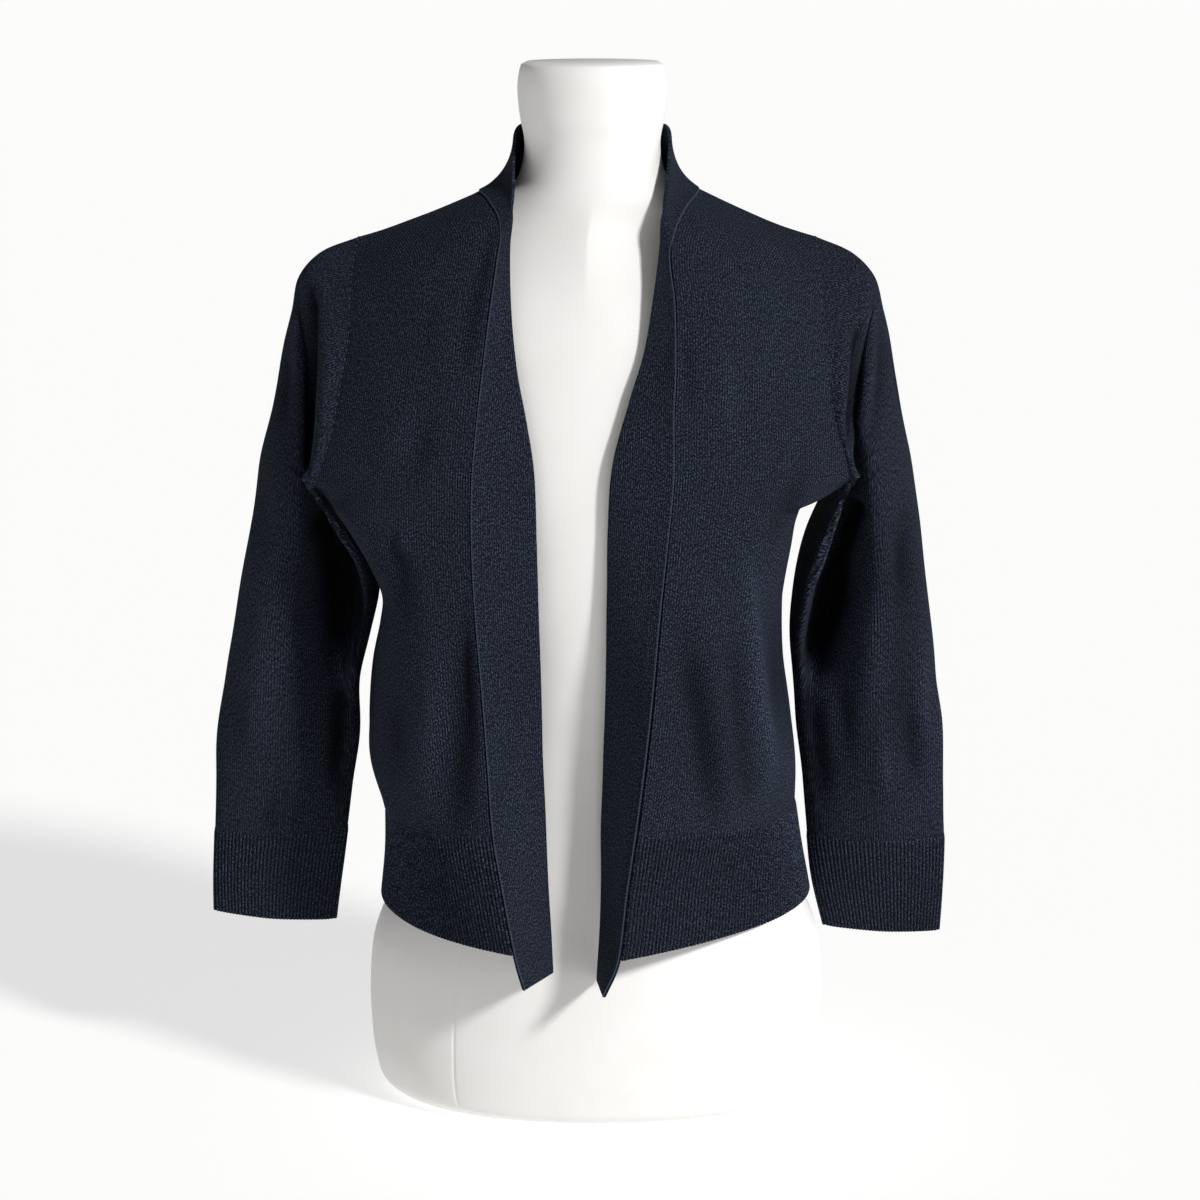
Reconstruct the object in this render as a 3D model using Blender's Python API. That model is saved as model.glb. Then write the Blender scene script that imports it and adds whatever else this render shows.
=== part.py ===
"""Cropped open-front cardigan on a limbless dress form.

X points to the viewer's right, the front faces -Y and Z points up. The origin is the centre of the
form's flat base. The tables are in millimetres and the finished solids in metres. "left" and "right"
are the wearer's, so the left pieces lie at +X.
"""

import bpy
import numpy as np

MM = 0.001
JERSEY = 2.0  # wall of the knitted panels
RIB = 2.4  # wall of the cuffs and the hem
BAND = 3.0  # the front band is two layers
SEAM_GAP = 0.3  # between neighbouring pieces
SHOULDER_COLUMNS = 8  # columns of cloth from the neck to the armhole
NECK_COLUMNS = 4  # columns from the shoulder seam to the centre back
BAND_COLUMNS = 4
FORM_SIDES = 36

NAVY = (0.012, 0.017, 0.030, 1.0)
NAVY_RIB = (0.011, 0.015, 0.026, 1.0)
OFF_WHITE = (0.80, 0.79, 0.77, 1.0)

# Places round a sleeve ring: 0 is the underarm, 0.1 the front corner of the underarm fold, 0.5 the
# outer edge, which starts at the shoulder seam, and 0.75 the middle of the back.
ROUND = np.array([0, 0.035, 0.065, 0.10, 0.13, 0.16, 0.20, 0.245, 0.29, 0.335, 0.38, 0.42, 0.46,
                  0.50, 0.545, 0.59, 0.635, 0.68, 0.725, 0.77, 0.815, 0.86, 0.91, 0.955])
FRONT_ROWS = ROUND[:14][::-1]  # shoulder to underarm by the front
BACK_ROWS = np.append(ROUND[13:], 1.0)  # shoulder to underarm by the back
SIDE_ROWS = np.array([1.06, 1.13, 1.21, 1.31, 1.44, 1.58, 1.72, 1.86, 2.0])  # underarm to the hem rib

# The two edges of the front band: the seam and the free edge. Curl is how far its width follows the
# neck before it flares to the seam. Row 2 is the shoulder, 14 the top of the hem rib, 16 the hem and
# 17 the lower end.
BAND_LEFT = {  # place         seam x, y, z        free edge x, y, z   curl
    "back neck":       (0.15, 67, 689,    0.15, 59.5, 734,    0.8),
    "back quarter":    (44, 55, 690,      34, 49, 735,        0.8),
    "shoulder":        (73, 6, 691,       50.5, 21, 736,      0.95),
    "side of neck":    (63, -38, 680,     51.5, -17, 719,     0.7),
    "front of neck":   (54, -62, 664,     47.5, -50, 690,     0.3),
    "collarbone":      (53, -74, 646,     46, -62, 662,       0.1),
    "upper chest":     (56, -88, 619,     42, -77, 630,       0),
    "chest":           (56.5, -103, 577,  34.5, -92, 587,     0),
    "armhole":         (55, -113, 543,    24, -101, 553,      0),
    "underarm":        (55, -120, 502,    12, -108, 508,      0),
    "bust":            (51, -125.5, 455,  9, -108, 458,       0),
    "below bust":      (46.5, -129, 408,  9, -105, 410,       0),
    "waist":           (41, -131, 340,    8.5, -99, 341,      0),
    "below waist":     (36, -132, 291,    7.5, -96, 291,      0),
    "rib top":         (30, -134, 243,    6.5, -96, 243,      0),
    "rib":             (24, -138, 200,    6, -99, 201,        0),
    "hem":             (18, -143, 152,    4.5, -104, 156,     0),
    "lower end":       (7, -147, 125,     3, -107, 122,       0),
}
BAND_RIGHT = {
    "back neck":       (-0.15, 67, 689,     -0.15, 59.5, 734,   0.8),
    "back quarter":    (-46, 55, 690,       -38, 49, 735,       0.8),
    "shoulder":        (-81.5, 4, 690,      -55, 20, 736,       0.95),
    "side of neck":    (-76, -36, 686,      -57.5, -17, 718,    0.7),
    "front of neck":   (-67, -60, 672,      -57, -50, 692,      0.3),
    "collarbone":      (-70, -74, 650,      -61, -64, 660,      0.1),
    "upper chest":     (-75, -90, 615,      -60.5, -78, 620,    0),
    "chest":           (-80, -105, 572,     -56, -93, 575,      0),
    "armhole":         (-84, -113, 535,     -49, -101, 538,     0),
    "underarm":        (-87, -119, 500,     -43.5, -107, 502,   0),
    "bust":            (-87.5, -124, 455,   -42, -112, 455,     0),
    "below bust":      (-85.5, -126, 405,   -41, -111, 405,     0),
    "waist":           (-81, -127, 340,     -39.5, -107, 339,   0),
    "below waist":     (-78, -128, 290,     -39, -104, 290,     0),
    "rib top":         (-75, -131, 243,     -37.5, -103, 243,   0),
    "rib":             (-69, -136, 205,     -36.5, -103, 204,   0),
    "hem":             (-60, -143, 156,     -34.5, -105, 160,   0),
    "lower end":       (-53, -146, 130,     -33, -108, 129,     0),
}

# The armhole seam and, a little further out, the fold where the sleeve head turns back.
ARMHOLE_LEFT = {  # round: x, y, z
    0.00: (174, -30, 481),
    0.05: (178.5, -51, 483.5),
    0.10: (182, -67, 491.5),
    0.17: (178, -71, 508.5),
    0.22: (173.5, -70, 523),
    0.29: (167, -63, 548.5),
    0.36: (164, -52, 582),
    0.43: (161, -33, 617),
    0.47: (160, -18, 639),
    0.50: (160, 0, 655),
    0.55: (161, 22, 640),
    0.62: (163, 42, 605),
    0.72: (166, 54, 560),
    0.84: (172, 50, 515),
    0.92: (177, 30, 490),
}
ARMHOLE_RIGHT = {
    0.00: (-192, -32, 474),
    0.05: (-197.5, -51, 477.5),
    0.10: (-200.5, -66, 487),
    0.17: (-195, -71, 503.5),
    0.22: (-188.5, -69, 524),
    0.29: (-182, -60, 558),
    0.36: (-177, -51, 588),
    0.43: (-176, -34, 620),
    0.47: (-175, -18, 640),
    0.50: (-173, 0, 655),
    0.55: (-174, 22, 640),
    0.62: (-176, 42, 605),
    0.72: (-180, 54, 560),
    0.84: (-187, 50, 512),
    0.92: (-193, 30, 484),
}
HEAD_FOLD_LEFT = {
    0.00: (178, -32, 478.5),
    0.05: (183.5, -53, 480.5),
    0.10: (187, -68.5, 489),
    0.17: (182, -71, 508),
    0.22: (178, -68, 526),
    0.29: (181, -59, 549.5),
    0.36: (187, -45, 579),
    0.43: (194, -27, 605),
    0.47: (196, -14, 627),
    0.50: (188, 0, 643),
    0.55: (186, 24, 631),
    0.62: (188, 44, 600),
    0.72: (190, 56, 556),
    0.84: (190, 50, 510),
    0.92: (184, 28, 486),
}
HEAD_FOLD_RIGHT = {
    0.00: (-197.5, -33, 471.5),
    0.05: (-204, -53, 475),
    0.10: (-208.5, -69, 485.5),
    0.17: (-203, -70, 503.5),
    0.22: (-199.5, -67, 523),
    0.29: (-198, -59, 551),
    0.36: (-198, -46, 583),
    0.43: (-202, -28, 608),
    0.47: (-208, -14, 629),
    0.50: (-201.5, 0, 643.5),
    0.55: (-201, 24, 631),
    0.62: (-203, 44, 600),
    0.72: (-204, 56, 556),
    0.84: (-205, 50, 506),
    0.92: (-200, 28, 480),
}

# Sleeve rings below the fold. A ring runs from its inner point, near the body, to its outer one; "at" is
# a share of that distance. The fold edge hangs from the underarm corner with the groove behind it.
SLEEVE_LEFT = {
    # ring        inner x, y, z     outer x, z   edge at, y  groove at, y  front at, y  back y
    "valley":    (180, -28, 475,    202, 628,    0.10, -69,  0.20, -54,    0.47, -28,   56),
    "ridge":     (178, -22, 469,    210, 602,    0.11, -66,  0.20, -34,    0.47, -37,   53),
    "upper":     (171, -12, 461,    220, 558,    0.15, -60,  0.23, -18,    0.50, -42,   49),
    "arm":       (163, -4, 450,     230.5, 505,  0.17, -52,  0.25, -8,     0.55, -43,   46),
    "elbow top": (155.5, 2, 428,    239.5, 452,  0.13, -42,  0.22, 0,      0.58, -40,   43),
    "elbow":     (149.5, 4, 394,    247.5, 394,  0.08, -31,  0.17, 2,      0.60, -37,   41),
    "below":     (148, 4, 360,    252.5, 358,  0.06, -18,  0.14, 0,      0.58, -34,   38),
    "lower":     (151, 4, 331,      255.5, 330,  0.04, -10,  0.11, -6,     0.55, -31,   34),
    "forearm":   (158, 3, 268,      262, 268,    0.03, -8,   0.10, -12,    0.52, -25,   27),
    "cuff top":  (164, 2, 202,      266, 200,    0.03, -6,   0.10, -10,    0.50, -18,   20),
}
SLEEVE_RIGHT = {
    "valley":    (-200, -28, 468,   -216, 627,  0.10, -68,  0.20, -54,    0.47, -26,   56),
    "ridge":     (-198, -22, 462,   -222, 602,  0.11, -65,  0.20, -34,    0.47, -34,   53),
    "upper":     (-190, -12, 453,   -234, 557,  0.14, -58,  0.22, -18,    0.50, -39,   49),
    "arm":       (-179, -2, 442,    -246, 505,  0.15, -49,  0.25, -8,     0.57, -41,   46),
    "elbow top": (-166, 4, 418,     -255, 450,   0.12, -36,  0.25, 0,      0.60, -38,   43),
    "elbow":     (-165, 5, 390,     -266.5, 394, 0.09, -22,  0.22, 3,      0.60, -36,   41),
    "below":     (-173, 5, 358,     -273, 358,   0.05, -12,  0.15, 0,      0.58, -34,   38),
    "lower":     (-180, 4, 331,     -278, 331,   0.04, -9,   0.12, -5,     0.55, -31,   34),
    "forearm":   (-185, 3, 268,     -287, 269,   0.03, -8,   0.10, -12,    0.52, -25,   27),
    "cuff top":  (-193, 2, 208,     -291, 205,   0.03, -6,   0.10, -10,    0.50, -18,   20),
}
CUFF_LEFT = {
    "top":       (164, 2, 202,      266, 200,    0.03, -6,   0.10, -10,    0.50, -18,   20),
    "middle":    (169, 1, 164,      265.5, 161,  0.03, -4,   0.10, -7,     0.50, -14,   16),
    "end":       (178, 1, 127,      264, 122,    0.03, -3,   0.10, -5.5,   0.50, -10,   12),
}
CUFF_RIGHT = {
    "top":       (-193, 2, 208,     -291, 205,   0.03, -6,   0.10, -10,    0.50, -18,   20),
    "middle":    (-198, 1, 170,     -293, 170,   0.03, -4,   0.10, -7,     0.50, -14,   16),
    "end":       (-203, 1, 132,     -294, 138,   0.03, -3,   0.10, -5.5,   0.50, -10,   12),
}

# Rows across a front, from the band seam to the armhole (down to 0 to 1, shoulder to underarm) or the
# side seam (1 to 2, underarm to rib, then 3 at the hem). Each row bends towards the point given, more
# closely with more pull.
FRONT_LEFT = {  # down: band row, bend x, y, z, pull
    0.00: (2.0, 118, 0, 669, 1.0),
    0.07: (3.0, 112, -36, 664, 1.0),
    0.14: (4.0, 108, -58, 650, 1.0),
    0.28: (5.8, 112, -84, 608, 1.0),
    0.42: (7.05, 117, -100, 563, 1.0),
    0.56: (8.15, 122, -109, 531, 1.0),
    0.66: (8.7, 127, -111, 514, 1.1),
    0.80: (9.15, 138, -110, 497, 1.25),
    0.90: (9.4, 160, -101.5, 486, 1.4),
    1.00: (9.6, 164, -102, 479, 1.8),
    1.10: (9.8, 152, -104, 471, 1.8),
    1.20: (10.0, 146, -109, 459, 1.8),
    1.32: (10.35, 143, -112, 440, 1.7),
    1.50: (11.2, 138.5, -112, 395, 1.4),
    1.66: (11.9, 139, -114, 348, 1.2),
    1.82: (12.8, 146, -112, 299, 1.1),
    2.00: (14.0, 149, -98, 236, 1.0),
    2.50: (15.0, 160, -76, 195, 1.0),
    3.00: (16.0, 165.5, -70, 154, 0.97),
}
FRONT_RIGHT = {
    0.00: (2.0, -128, 0, 669, 1.0),
    0.07: (3.0, -125, -36, 665, 1.0),
    0.14: (4.0, -122, -60, 652, 1.0),
    0.28: (5.8, -126, -85, 608, 1.0),
    0.42: (7.0, -132, -100, 566, 1.0),
    0.56: (8.0, -138, -107, 532, 1.0),
    0.66: (8.6, -144, -108.5, 512, 1.1),
    0.80: (9.1, -157, -106, 492, 1.2),
    0.90: (9.45, -180, -98, 476, 1.5),
    1.00: (9.7, -190, -98, 466, 1.9),
    1.10: (10.0, -184, -100, 449, 1.9),
    1.20: (10.45, -172, -104, 426, 1.8),
    1.32: (10.9, -163, -109, 406, 1.6),
    1.50: (11.4, -164.5, -109, 377, 1.4),
    1.66: (12.0, -168, -112, 341, 1.2),
    1.82: (12.8, -169, -113, 297, 1.1),
    2.00: (14.0, -158.5, -113, 236, 1.0),
    2.50: (15.0, -161, -102, 198, 0.9),
    3.00: (16.0, -165.5, -90, 156, 0.85),
}

# Side seams, with down as above.
SIDE_LEFT = {
    1.00: (174, -30, 481),
    1.10: (153, -14, 473),
    1.20: (147, -8, 460),
    1.32: (143.5, -4, 440),
    1.50: (138, 0, 395),
    1.66: (139, 0, 348),
    1.82: (146, 2, 299),
    1.92: (150, 2, 262),
    2.00: (150.5, 2, 229),
    2.50: (156.5, 2, 190),
    3.00: (162.5, 2, 158),
}
SIDE_RIGHT = {
    1.00: (-192, -32, 474),
    1.10: (-173, -20, 452),
    1.20: (-159, -14, 427),
    1.32: (-153, -8, 405),
    1.50: (-158, -3, 377),
    1.66: (-166, 0, 341),
    1.82: (-170, 2, 297),
    1.92: (-170, 2, 262),
    2.00: (-158.5, 2, 229),
    2.50: (-160, 2, 190),
    3.00: (-163.5, 2, 156),
}

# Half rows across the back, from its centre. The bend's x is a share of the outer edge's.
BACK = {  # down: centre y, z, bend x share, y, z, pull
    0.00: (67, 689, 0.60, 30, 678, 1.0),
    0.10: (74, 672, 0.68, 60, 661, 1.0),
    0.25: (82, 647, 0.78, 78, 631, 1.0),
    0.50: (89, 601, 0.84, 88, 590, 1.0),
    0.75: (91, 548, 0.90, 90, 540, 1.0),
    0.90: (91, 512, 0.92, 92, 508, 1.2),
    1.00: (90, 490, 0.93, 92, 488, 1.3),
    1.10: (89.5, 472, 0.97, 92, 471, 1.3),
    1.20: (89, 455, 1.00, 90, 457, 1.2),
    1.32: (88, 434, 1.00, 89, 436, 1.1),
    1.50: (87, 394, 1.00, 88, 395, 1.0),
    1.66: (87, 347, 1.00, 88, 347, 1.0),
    1.82: (88, 297, 1.00, 89, 297, 1.0),
    2.00: (93, 234, 1.00, 93, 232, 0.95),
    2.50: (105, 194, 1.00, 102, 192, 0.9),
    3.00: (114, 155, 1.00, 108, 155, 0.85),
}

# Level sections of the form. Their outline is a rounded rectangle for "power" over 2, an ellipse at 2
# and pointed at the sides, as over the shoulders, below it.
FORM = [  # z, centre x, half width, front, back, power
    (0, 0, 148, 82, 85, 2.2),
    (2, 0, 158, 92, 95, 2.2),
    (9, 0, 167, 100, 103, 2.2),
    (24, 0, 171.5, 104, 107, 2.2),
    (57, 0, 175, 107, 111, 2.15),
    (91, 0, 175, 107, 112, 2.1),
    (124, 0, 171, 104, 110, 2.1),
    (140, 0, 165.5, 101, 108, 2.1),
    (156, 0, 158, 98, 104, 2.1),
    (189, 0, 152, 95, 96, 2.1),
    (217, 0, 144, 92, 87, 2.1),
    (250, -1, 134, 89, 77, 2.1),
    (290, -2, 126, 87, 69, 2.1),
    (340, -3, 127, 90, 69, 2.1),
    (380, -4, 132, 96, 72, 2.1),
    (420, -4, 138, 101, 75, 2.1),
    (460, -5, 142, 104, 79, 2.1),
    (500, -6, 147, 103, 82, 2.1),
    (530, -6, 155, 100, 83, 2.0),
    (560, -6, 169, 95, 83, 1.9),
    (590, -6, 182, 89, 80, 1.75),
    (612, -6, 187, 81, 77, 1.55),
    (630, -6.5, 185, 74, 73, 1.35),
    (643, -6.5, 177, 67, 67, 1.22),
    (653, -6.5, 158, 61, 63, 1.2),
    (663, -5.7, 135, 56, 59, 1.2),
    (672, -4.5, 112, 52, 57, 1.3),
    (680, -3, 90, 50, 55, 1.5),
    (688, -2.5, 70, 49, 54, 1.8),
    (698, -2.5, 56, 48.5, 52, 2.0),
    (712, -2.5, 50.5, 48.5, 51, 2.0),
    (730, -2.5, 49.5, 48.5, 51, 2.0),
    (740, -2.5, 51.5, 49.5, 51.5, 2.0),
    (750, -2.5, 53, 49.5, 52, 2.0),
    (774, -2.5, 53, 49, 52, 2.0),
    (781, -2.5, 51, 47, 50, 2.0),
    (783, -2.5, 47, 43, 46, 2.0),
]


def smooth(at, knots, values):
    """A smooth curve through the values at the knots, read off at other places."""
    at, knots, values = np.asarray(at, float), np.asarray(knots, float), np.asarray(values, float)
    slope = np.gradient(values, knots, axis=0)
    i = np.clip(np.searchsorted(knots, at, side="right") - 1, 0, len(knots) - 2)
    step = (knots[i + 1] - knots[i])[:, None]
    t = (at - knots[i])[:, None] / step
    ends = values[i] * (1 + 2 * t) * (1 - t) ** 2 + values[i + 1] * t * t * (3 - 2 * t)
    return ends + step * (slope[i] * t * (1 - t) ** 2 - slope[i + 1] * t * t * (1 - t))


def table(at, rows):
    return smooth(at, list(rows), list(rows.values()))


def numbered(at, rows):
    return smooth(at, np.arange(len(rows)), list(rows.values()))


def closed(at, knots, values):
    """The same for a loop whose knots run from 0 to 1."""
    knots, values = np.asarray(knots, float), np.asarray(values, float)
    around = np.concatenate([knots - 1, knots, knots + 1])
    return smooth(at, around, np.concatenate([values] * 3))


def loop(at, rows):
    return closed(at, list(rows), list(rows.values()))


def arc(start, bend, end, pull, columns):
    """Rows of points, evenly spaced from start to end, bending towards bend."""
    t = np.linspace(0, 1, 65)[None, :, None]
    pull = np.asarray(pull, float)[:, None, None]
    a, b, c = (1 - t) ** 2, 2 * t * (1 - t) * pull, t * t
    rows = (a * start[:, None] + b * bend[:, None] + c * end[:, None]) / (a + b + c)
    far = np.cumsum(np.linalg.norm(np.diff(rows, axis=1, prepend=rows[:, :1]), axis=2), axis=1)
    found = []
    for row, at in zip(rows, far):
        wanted = np.linspace(0, at[-1], columns + 1)
        found.append([np.interp(wanted, at, row[:, i]) for i in range(3)])
    return np.array(found).transpose(0, 2, 1)


def unit(v):
    return v / np.maximum(np.linalg.norm(v, axis=-1, keepdims=True), 1e-9)


def normals_of(grid, round_it):
    """Each point's normal, the mean of its faces'."""
    if round_it:
        grid = np.concatenate([grid, grid[:, :1]], axis=1)
    face = unit(np.cross(grid[1:, 1:] - grid[:-1, :-1], grid[1:, :-1] - grid[:-1, 1:]))
    face = np.concatenate([face[:1], face, face[-1:]])
    ends = [face[:, -1:], face] if round_it else [face[:, :1], face, face[:, -1:]]
    face = np.concatenate(ends, axis=1)
    total = face[1:, 1:] + face[:-1, 1:] + face[1:, :-1] + face[:-1, :-1]
    return unit(total)


class Cloth:
    """A grid of points on the outer face of a piece, its wall and whether it closes into a tube."""

    def __init__(self, name, grid, wall, colour, round_it=False, flip=False):
        self.name, self.wall, self.colour, self.round_it, self.flip = name, wall, colour, round_it, flip
        self.grid = grid * MM
        self.normals = normals_of(grid, round_it) * (-1 if flip else 1)


def share_normals(pieces):
    """Neighbours get the same direction through the wall where they meet, so their edges stay apart."""
    found = {}
    for piece in pieces:
        edge = np.zeros(piece.grid.shape[:2], bool)
        edge[[0, -1]] = True
        if not piece.round_it:
            edge[:, [0, -1]] = True
        for row, column in np.argwhere(edge):
            key = tuple(np.round(piece.grid[row, column] / (0.5 * MM) + 0.137).astype(int))
            found.setdefault(key, []).append((piece, row, column))
    for places in found.values():
        mean = unit(sum(piece.normals[row, column] for piece, row, column in places))
        for piece, row, column in places:
            piece.normals[row, column] = mean


def inward(edge, normals, inside, round_it):
    """In the surface, square to an edge and towards the next line of points."""
    if round_it:
        along = np.roll(edge, -1, axis=0) - np.roll(edge, 1, axis=0)
    else:
        along = np.gradient(edge, axis=0)
    side = unit(np.cross(normals, along))
    return side * np.sign((side * (inside - edge)).sum())


def draw_in(piece):
    """Draws every edge in by half the seam gap."""
    grid, tilt, half = piece.grid.copy(), piece.normals, 0.5 * SEAM_GAP * MM
    piece.grid[0] += half * inward(grid[0], tilt[0], grid[1], piece.round_it)
    piece.grid[-1] += half * inward(grid[-1], tilt[-1], grid[-2], piece.round_it)
    if not piece.round_it:
        piece.grid[:, 0] += half * inward(grid[:, 0], tilt[:, 0], grid[:, 1], False)
        piece.grid[:, -1] += half * inward(grid[:, -1], tilt[:, -1], grid[:, -2], False)


def add_solid(name, points, faces, colour):
    mesh = bpy.data.meshes.new(name)
    mesh.from_pydata(points.tolist(), [], faces)
    mesh.polygons.foreach_set("use_smooth", [True] * len(mesh.polygons))
    mesh.update()
    material = bpy.data.materials.new(name)
    material.use_nodes = True
    shader = material.node_tree.nodes["Principled BSDF"]
    shader.inputs["Base Color"].default_value = colour
    shader.inputs["Roughness"].default_value = 0.9
    mesh.materials.append(material)
    bpy.context.scene.collection.objects.link(bpy.data.objects.new(name, mesh))


def add_cloth(piece):
    """The outer face, the inner one a wall away, and the edges that close them."""
    rows, columns = piece.grid.shape[:2]
    outer = piece.grid.reshape(-1, 3)
    inner = (piece.grid - piece.wall * MM * piece.normals).reshape(-1, 3)
    size = rows * columns
    index = np.arange(size).reshape(rows, columns)
    if piece.round_it:
        index = np.concatenate([index, index[:, :1]], axis=1)
    a, b, c, d = index[:-1, :-1], index[:-1, 1:], index[1:, 1:], index[1:, :-1]
    skin = np.concatenate([np.stack([a, b, c], axis=-1), np.stack([a, c, d], axis=-1)]).reshape(-1, 3)
    border = [index[0], index[-1, ::-1]]
    if not piece.round_it:
        border = [index[0], index[1:, -1], index[-1, -2::-1], index[-2:0:-1, 0], index[0, :1]]
        border = [np.concatenate(border)]
    faces = [skin, skin[:, ::-1] + size]
    points = np.concatenate([outer, inner])
    for line in border:
        p, q = line[1:], line[:-1]
        # Each quad of the rim is cut along its shorter diagonal, so that two rims at a seam match.
        first = np.linalg.norm(points[p] - points[q + size], axis=1)
        shorter = first < np.linalg.norm(points[q] - points[p + size], axis=1)
        faces.append(np.stack([p, q, np.where(shorter, q, p) + size], axis=-1))
        faces.append(np.stack([np.where(shorter, p, q), q + size, p + size], axis=-1))
    faces = np.concatenate(faces)
    if piece.flip:
        faces = faces[:, ::-1]
    add_solid(piece.name, points, faces.tolist(), piece.colour)


def band(name, rows, front_rows, flip):
    """The band from the centre back of the neck to its lower end, with the front's rows down the seam."""
    front_at = table(np.concatenate([front_rows, SIDE_ROWS, [2.5, 3.0]]), FRONT_OF[name])[:, 0]
    at = np.concatenate([np.linspace(0, 2, NECK_COLUMNS + 1)[:-1], front_at, [17.0]])
    edges = numbered(at, rows)
    seam, free, curl = edges[:, :3], edges[:, 3:6], edges[:, 6:]
    bend = (seam + free) / 2
    bend[:, :2] += curl * (free - bend)[:, :2]
    bend[:, 2:] += curl * 0.5 * (seam - bend)[:, 2:]
    grid = arc(seam, bend, free, np.ones(len(at)), BAND_COLUMNS)
    return Cloth(name, grid, BAND, NAVY, flip=flip)


def front_grid(band_rows, rows, armhole, side, down):
    """Points across a front for each place down, with the band seam first."""
    found = table(down, rows)
    start = numbered(found[:, 0], band_rows)[:, :3]
    end = np.where((down <= 1)[:, None], loop(0.5 * (1 - np.minimum(down, 1)), armhole),
                   table(np.maximum(down, 1), side))
    return arc(start, found[:, 1:4], end, found[:, 4], SHOULDER_COLUMNS)


def back_half(band_rows, shoulder, armhole, side, down):
    """Points from the centre back to one side. The top row follows the neck and shoulder seams."""
    found = table(down, BACK)
    end = np.where((down <= 1)[:, None], loop(0.5 + 0.5 * np.minimum(down, 1), armhole),
                   table(np.maximum(down, 1), side))
    start = np.stack([0 * found[:, 0], found[:, 0], found[:, 1]], axis=-1)
    bend = np.stack([found[:, 2] * end[:, 0], found[:, 3], found[:, 4]], axis=-1)
    columns = NECK_COLUMNS + SHOULDER_COLUMNS
    grid = arc(start, bend, end, found[:, 5], columns)
    if down[0] == 0:
        neck = numbered(np.linspace(0, 2, NECK_COLUMNS + 1), band_rows)[:, :3]
        neck[0, 0] = 0
        top = np.concatenate([neck, shoulder[1:]])
        fade = np.clip(1 - down / 0.35, 0, 1)[:, None, None] ** 2
        grid = grid + fade * (top - grid[0])[None]
    return grid


def back_grid(down):
    halves = [back_half(BAND_RIGHT, FRONT_TOP["right"], ARMHOLE_RIGHT, SIDE_RIGHT, down),
              back_half(BAND_LEFT, FRONT_TOP["left"], ARMHOLE_LEFT, SIDE_LEFT, down)]
    return np.concatenate([halves[0][:, :0:-1], halves[1]], axis=1)


def ring_of(inner, outer, named, back):
    """One sleeve ring through its named places, which are (share of the way out, y)."""
    at = [0, 0.10, 0.16, 0.30, 0.50, 0.75, 0.92]
    shares = [0, *named[0::2], 1, 0.5, 0.1]
    depths = [inner[1], *named[1::2], 0, back, 0.65 * back + 0.35 * inner[1]]
    found = closed(ROUND, at, np.stack([shares, depths], axis=-1))
    share, y = found[:, :1], found[:, 1:]
    flat = np.array([inner[0], 0, inner[2]]) * (1 - share) + np.array([outer[0], 0, outer[1]]) * share
    return flat + np.array([0, 1, 0]) * y


def rings_of(rows):
    return np.stack([ring_of(row[:3], row[3:5], row[5:11], row[11]) for row in rows.values()])


def sleeve_grid(armhole, fold, rows):
    return np.concatenate([loop(ROUND, armhole)[None], loop(ROUND, fold)[None], rings_of(rows)])


def add_form():
    """Level sections from the base to the top of the neck, closed flat at both ends."""
    turn = np.linspace(0, 2 * np.pi, FORM_SIDES, endpoint=False)
    rows = np.array(FORM, float)
    z, x, wide, front, back, power = (rows[:, [i]] for i in range(6))
    deep = np.where(np.sin(turn) < 0, front, back)
    across = np.sign(np.cos(turn)) * np.abs(np.cos(turn)) ** (2 / power)
    along = np.sign(np.sin(turn)) * np.abs(np.sin(turn)) ** (2 / power)
    grid = np.stack([x + wide * across, deep * along, z + 0 * turn], axis=-1)
    index = np.arange(grid.shape[0] * FORM_SIDES).reshape(-1, FORM_SIDES)
    index = np.concatenate([index, index[:, :1]], axis=1)
    skin = np.stack([index[:-1, :-1], index[:-1, 1:], index[1:, 1:], index[1:, :-1]], axis=-1)
    faces = skin.reshape(-1, 4).tolist()
    faces += [index[0, -2::-1].tolist(), index[-1, :-1].tolist()]
    add_solid("form", grid.reshape(-1, 3) * MM, faces, OFF_WHITE)


FRONT_OF = {"band_left": FRONT_LEFT, "band_right": FRONT_RIGHT}
FRONT_DOWN = np.concatenate([1 - 2 * FRONT_ROWS, SIDE_ROWS])
BACK_DOWN = np.concatenate([2 * BACK_ROWS - 1, SIDE_ROWS])
RIB_DOWN = np.array([2.0, 2.5, 3.0])
FRONT_TOP = {
    "left": front_grid(BAND_LEFT, FRONT_LEFT, ARMHOLE_LEFT, SIDE_LEFT, np.array([0.0]))[0],
    "right": front_grid(BAND_RIGHT, FRONT_RIGHT, ARMHOLE_RIGHT, SIDE_RIGHT, np.array([0.0]))[0],
}


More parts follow.
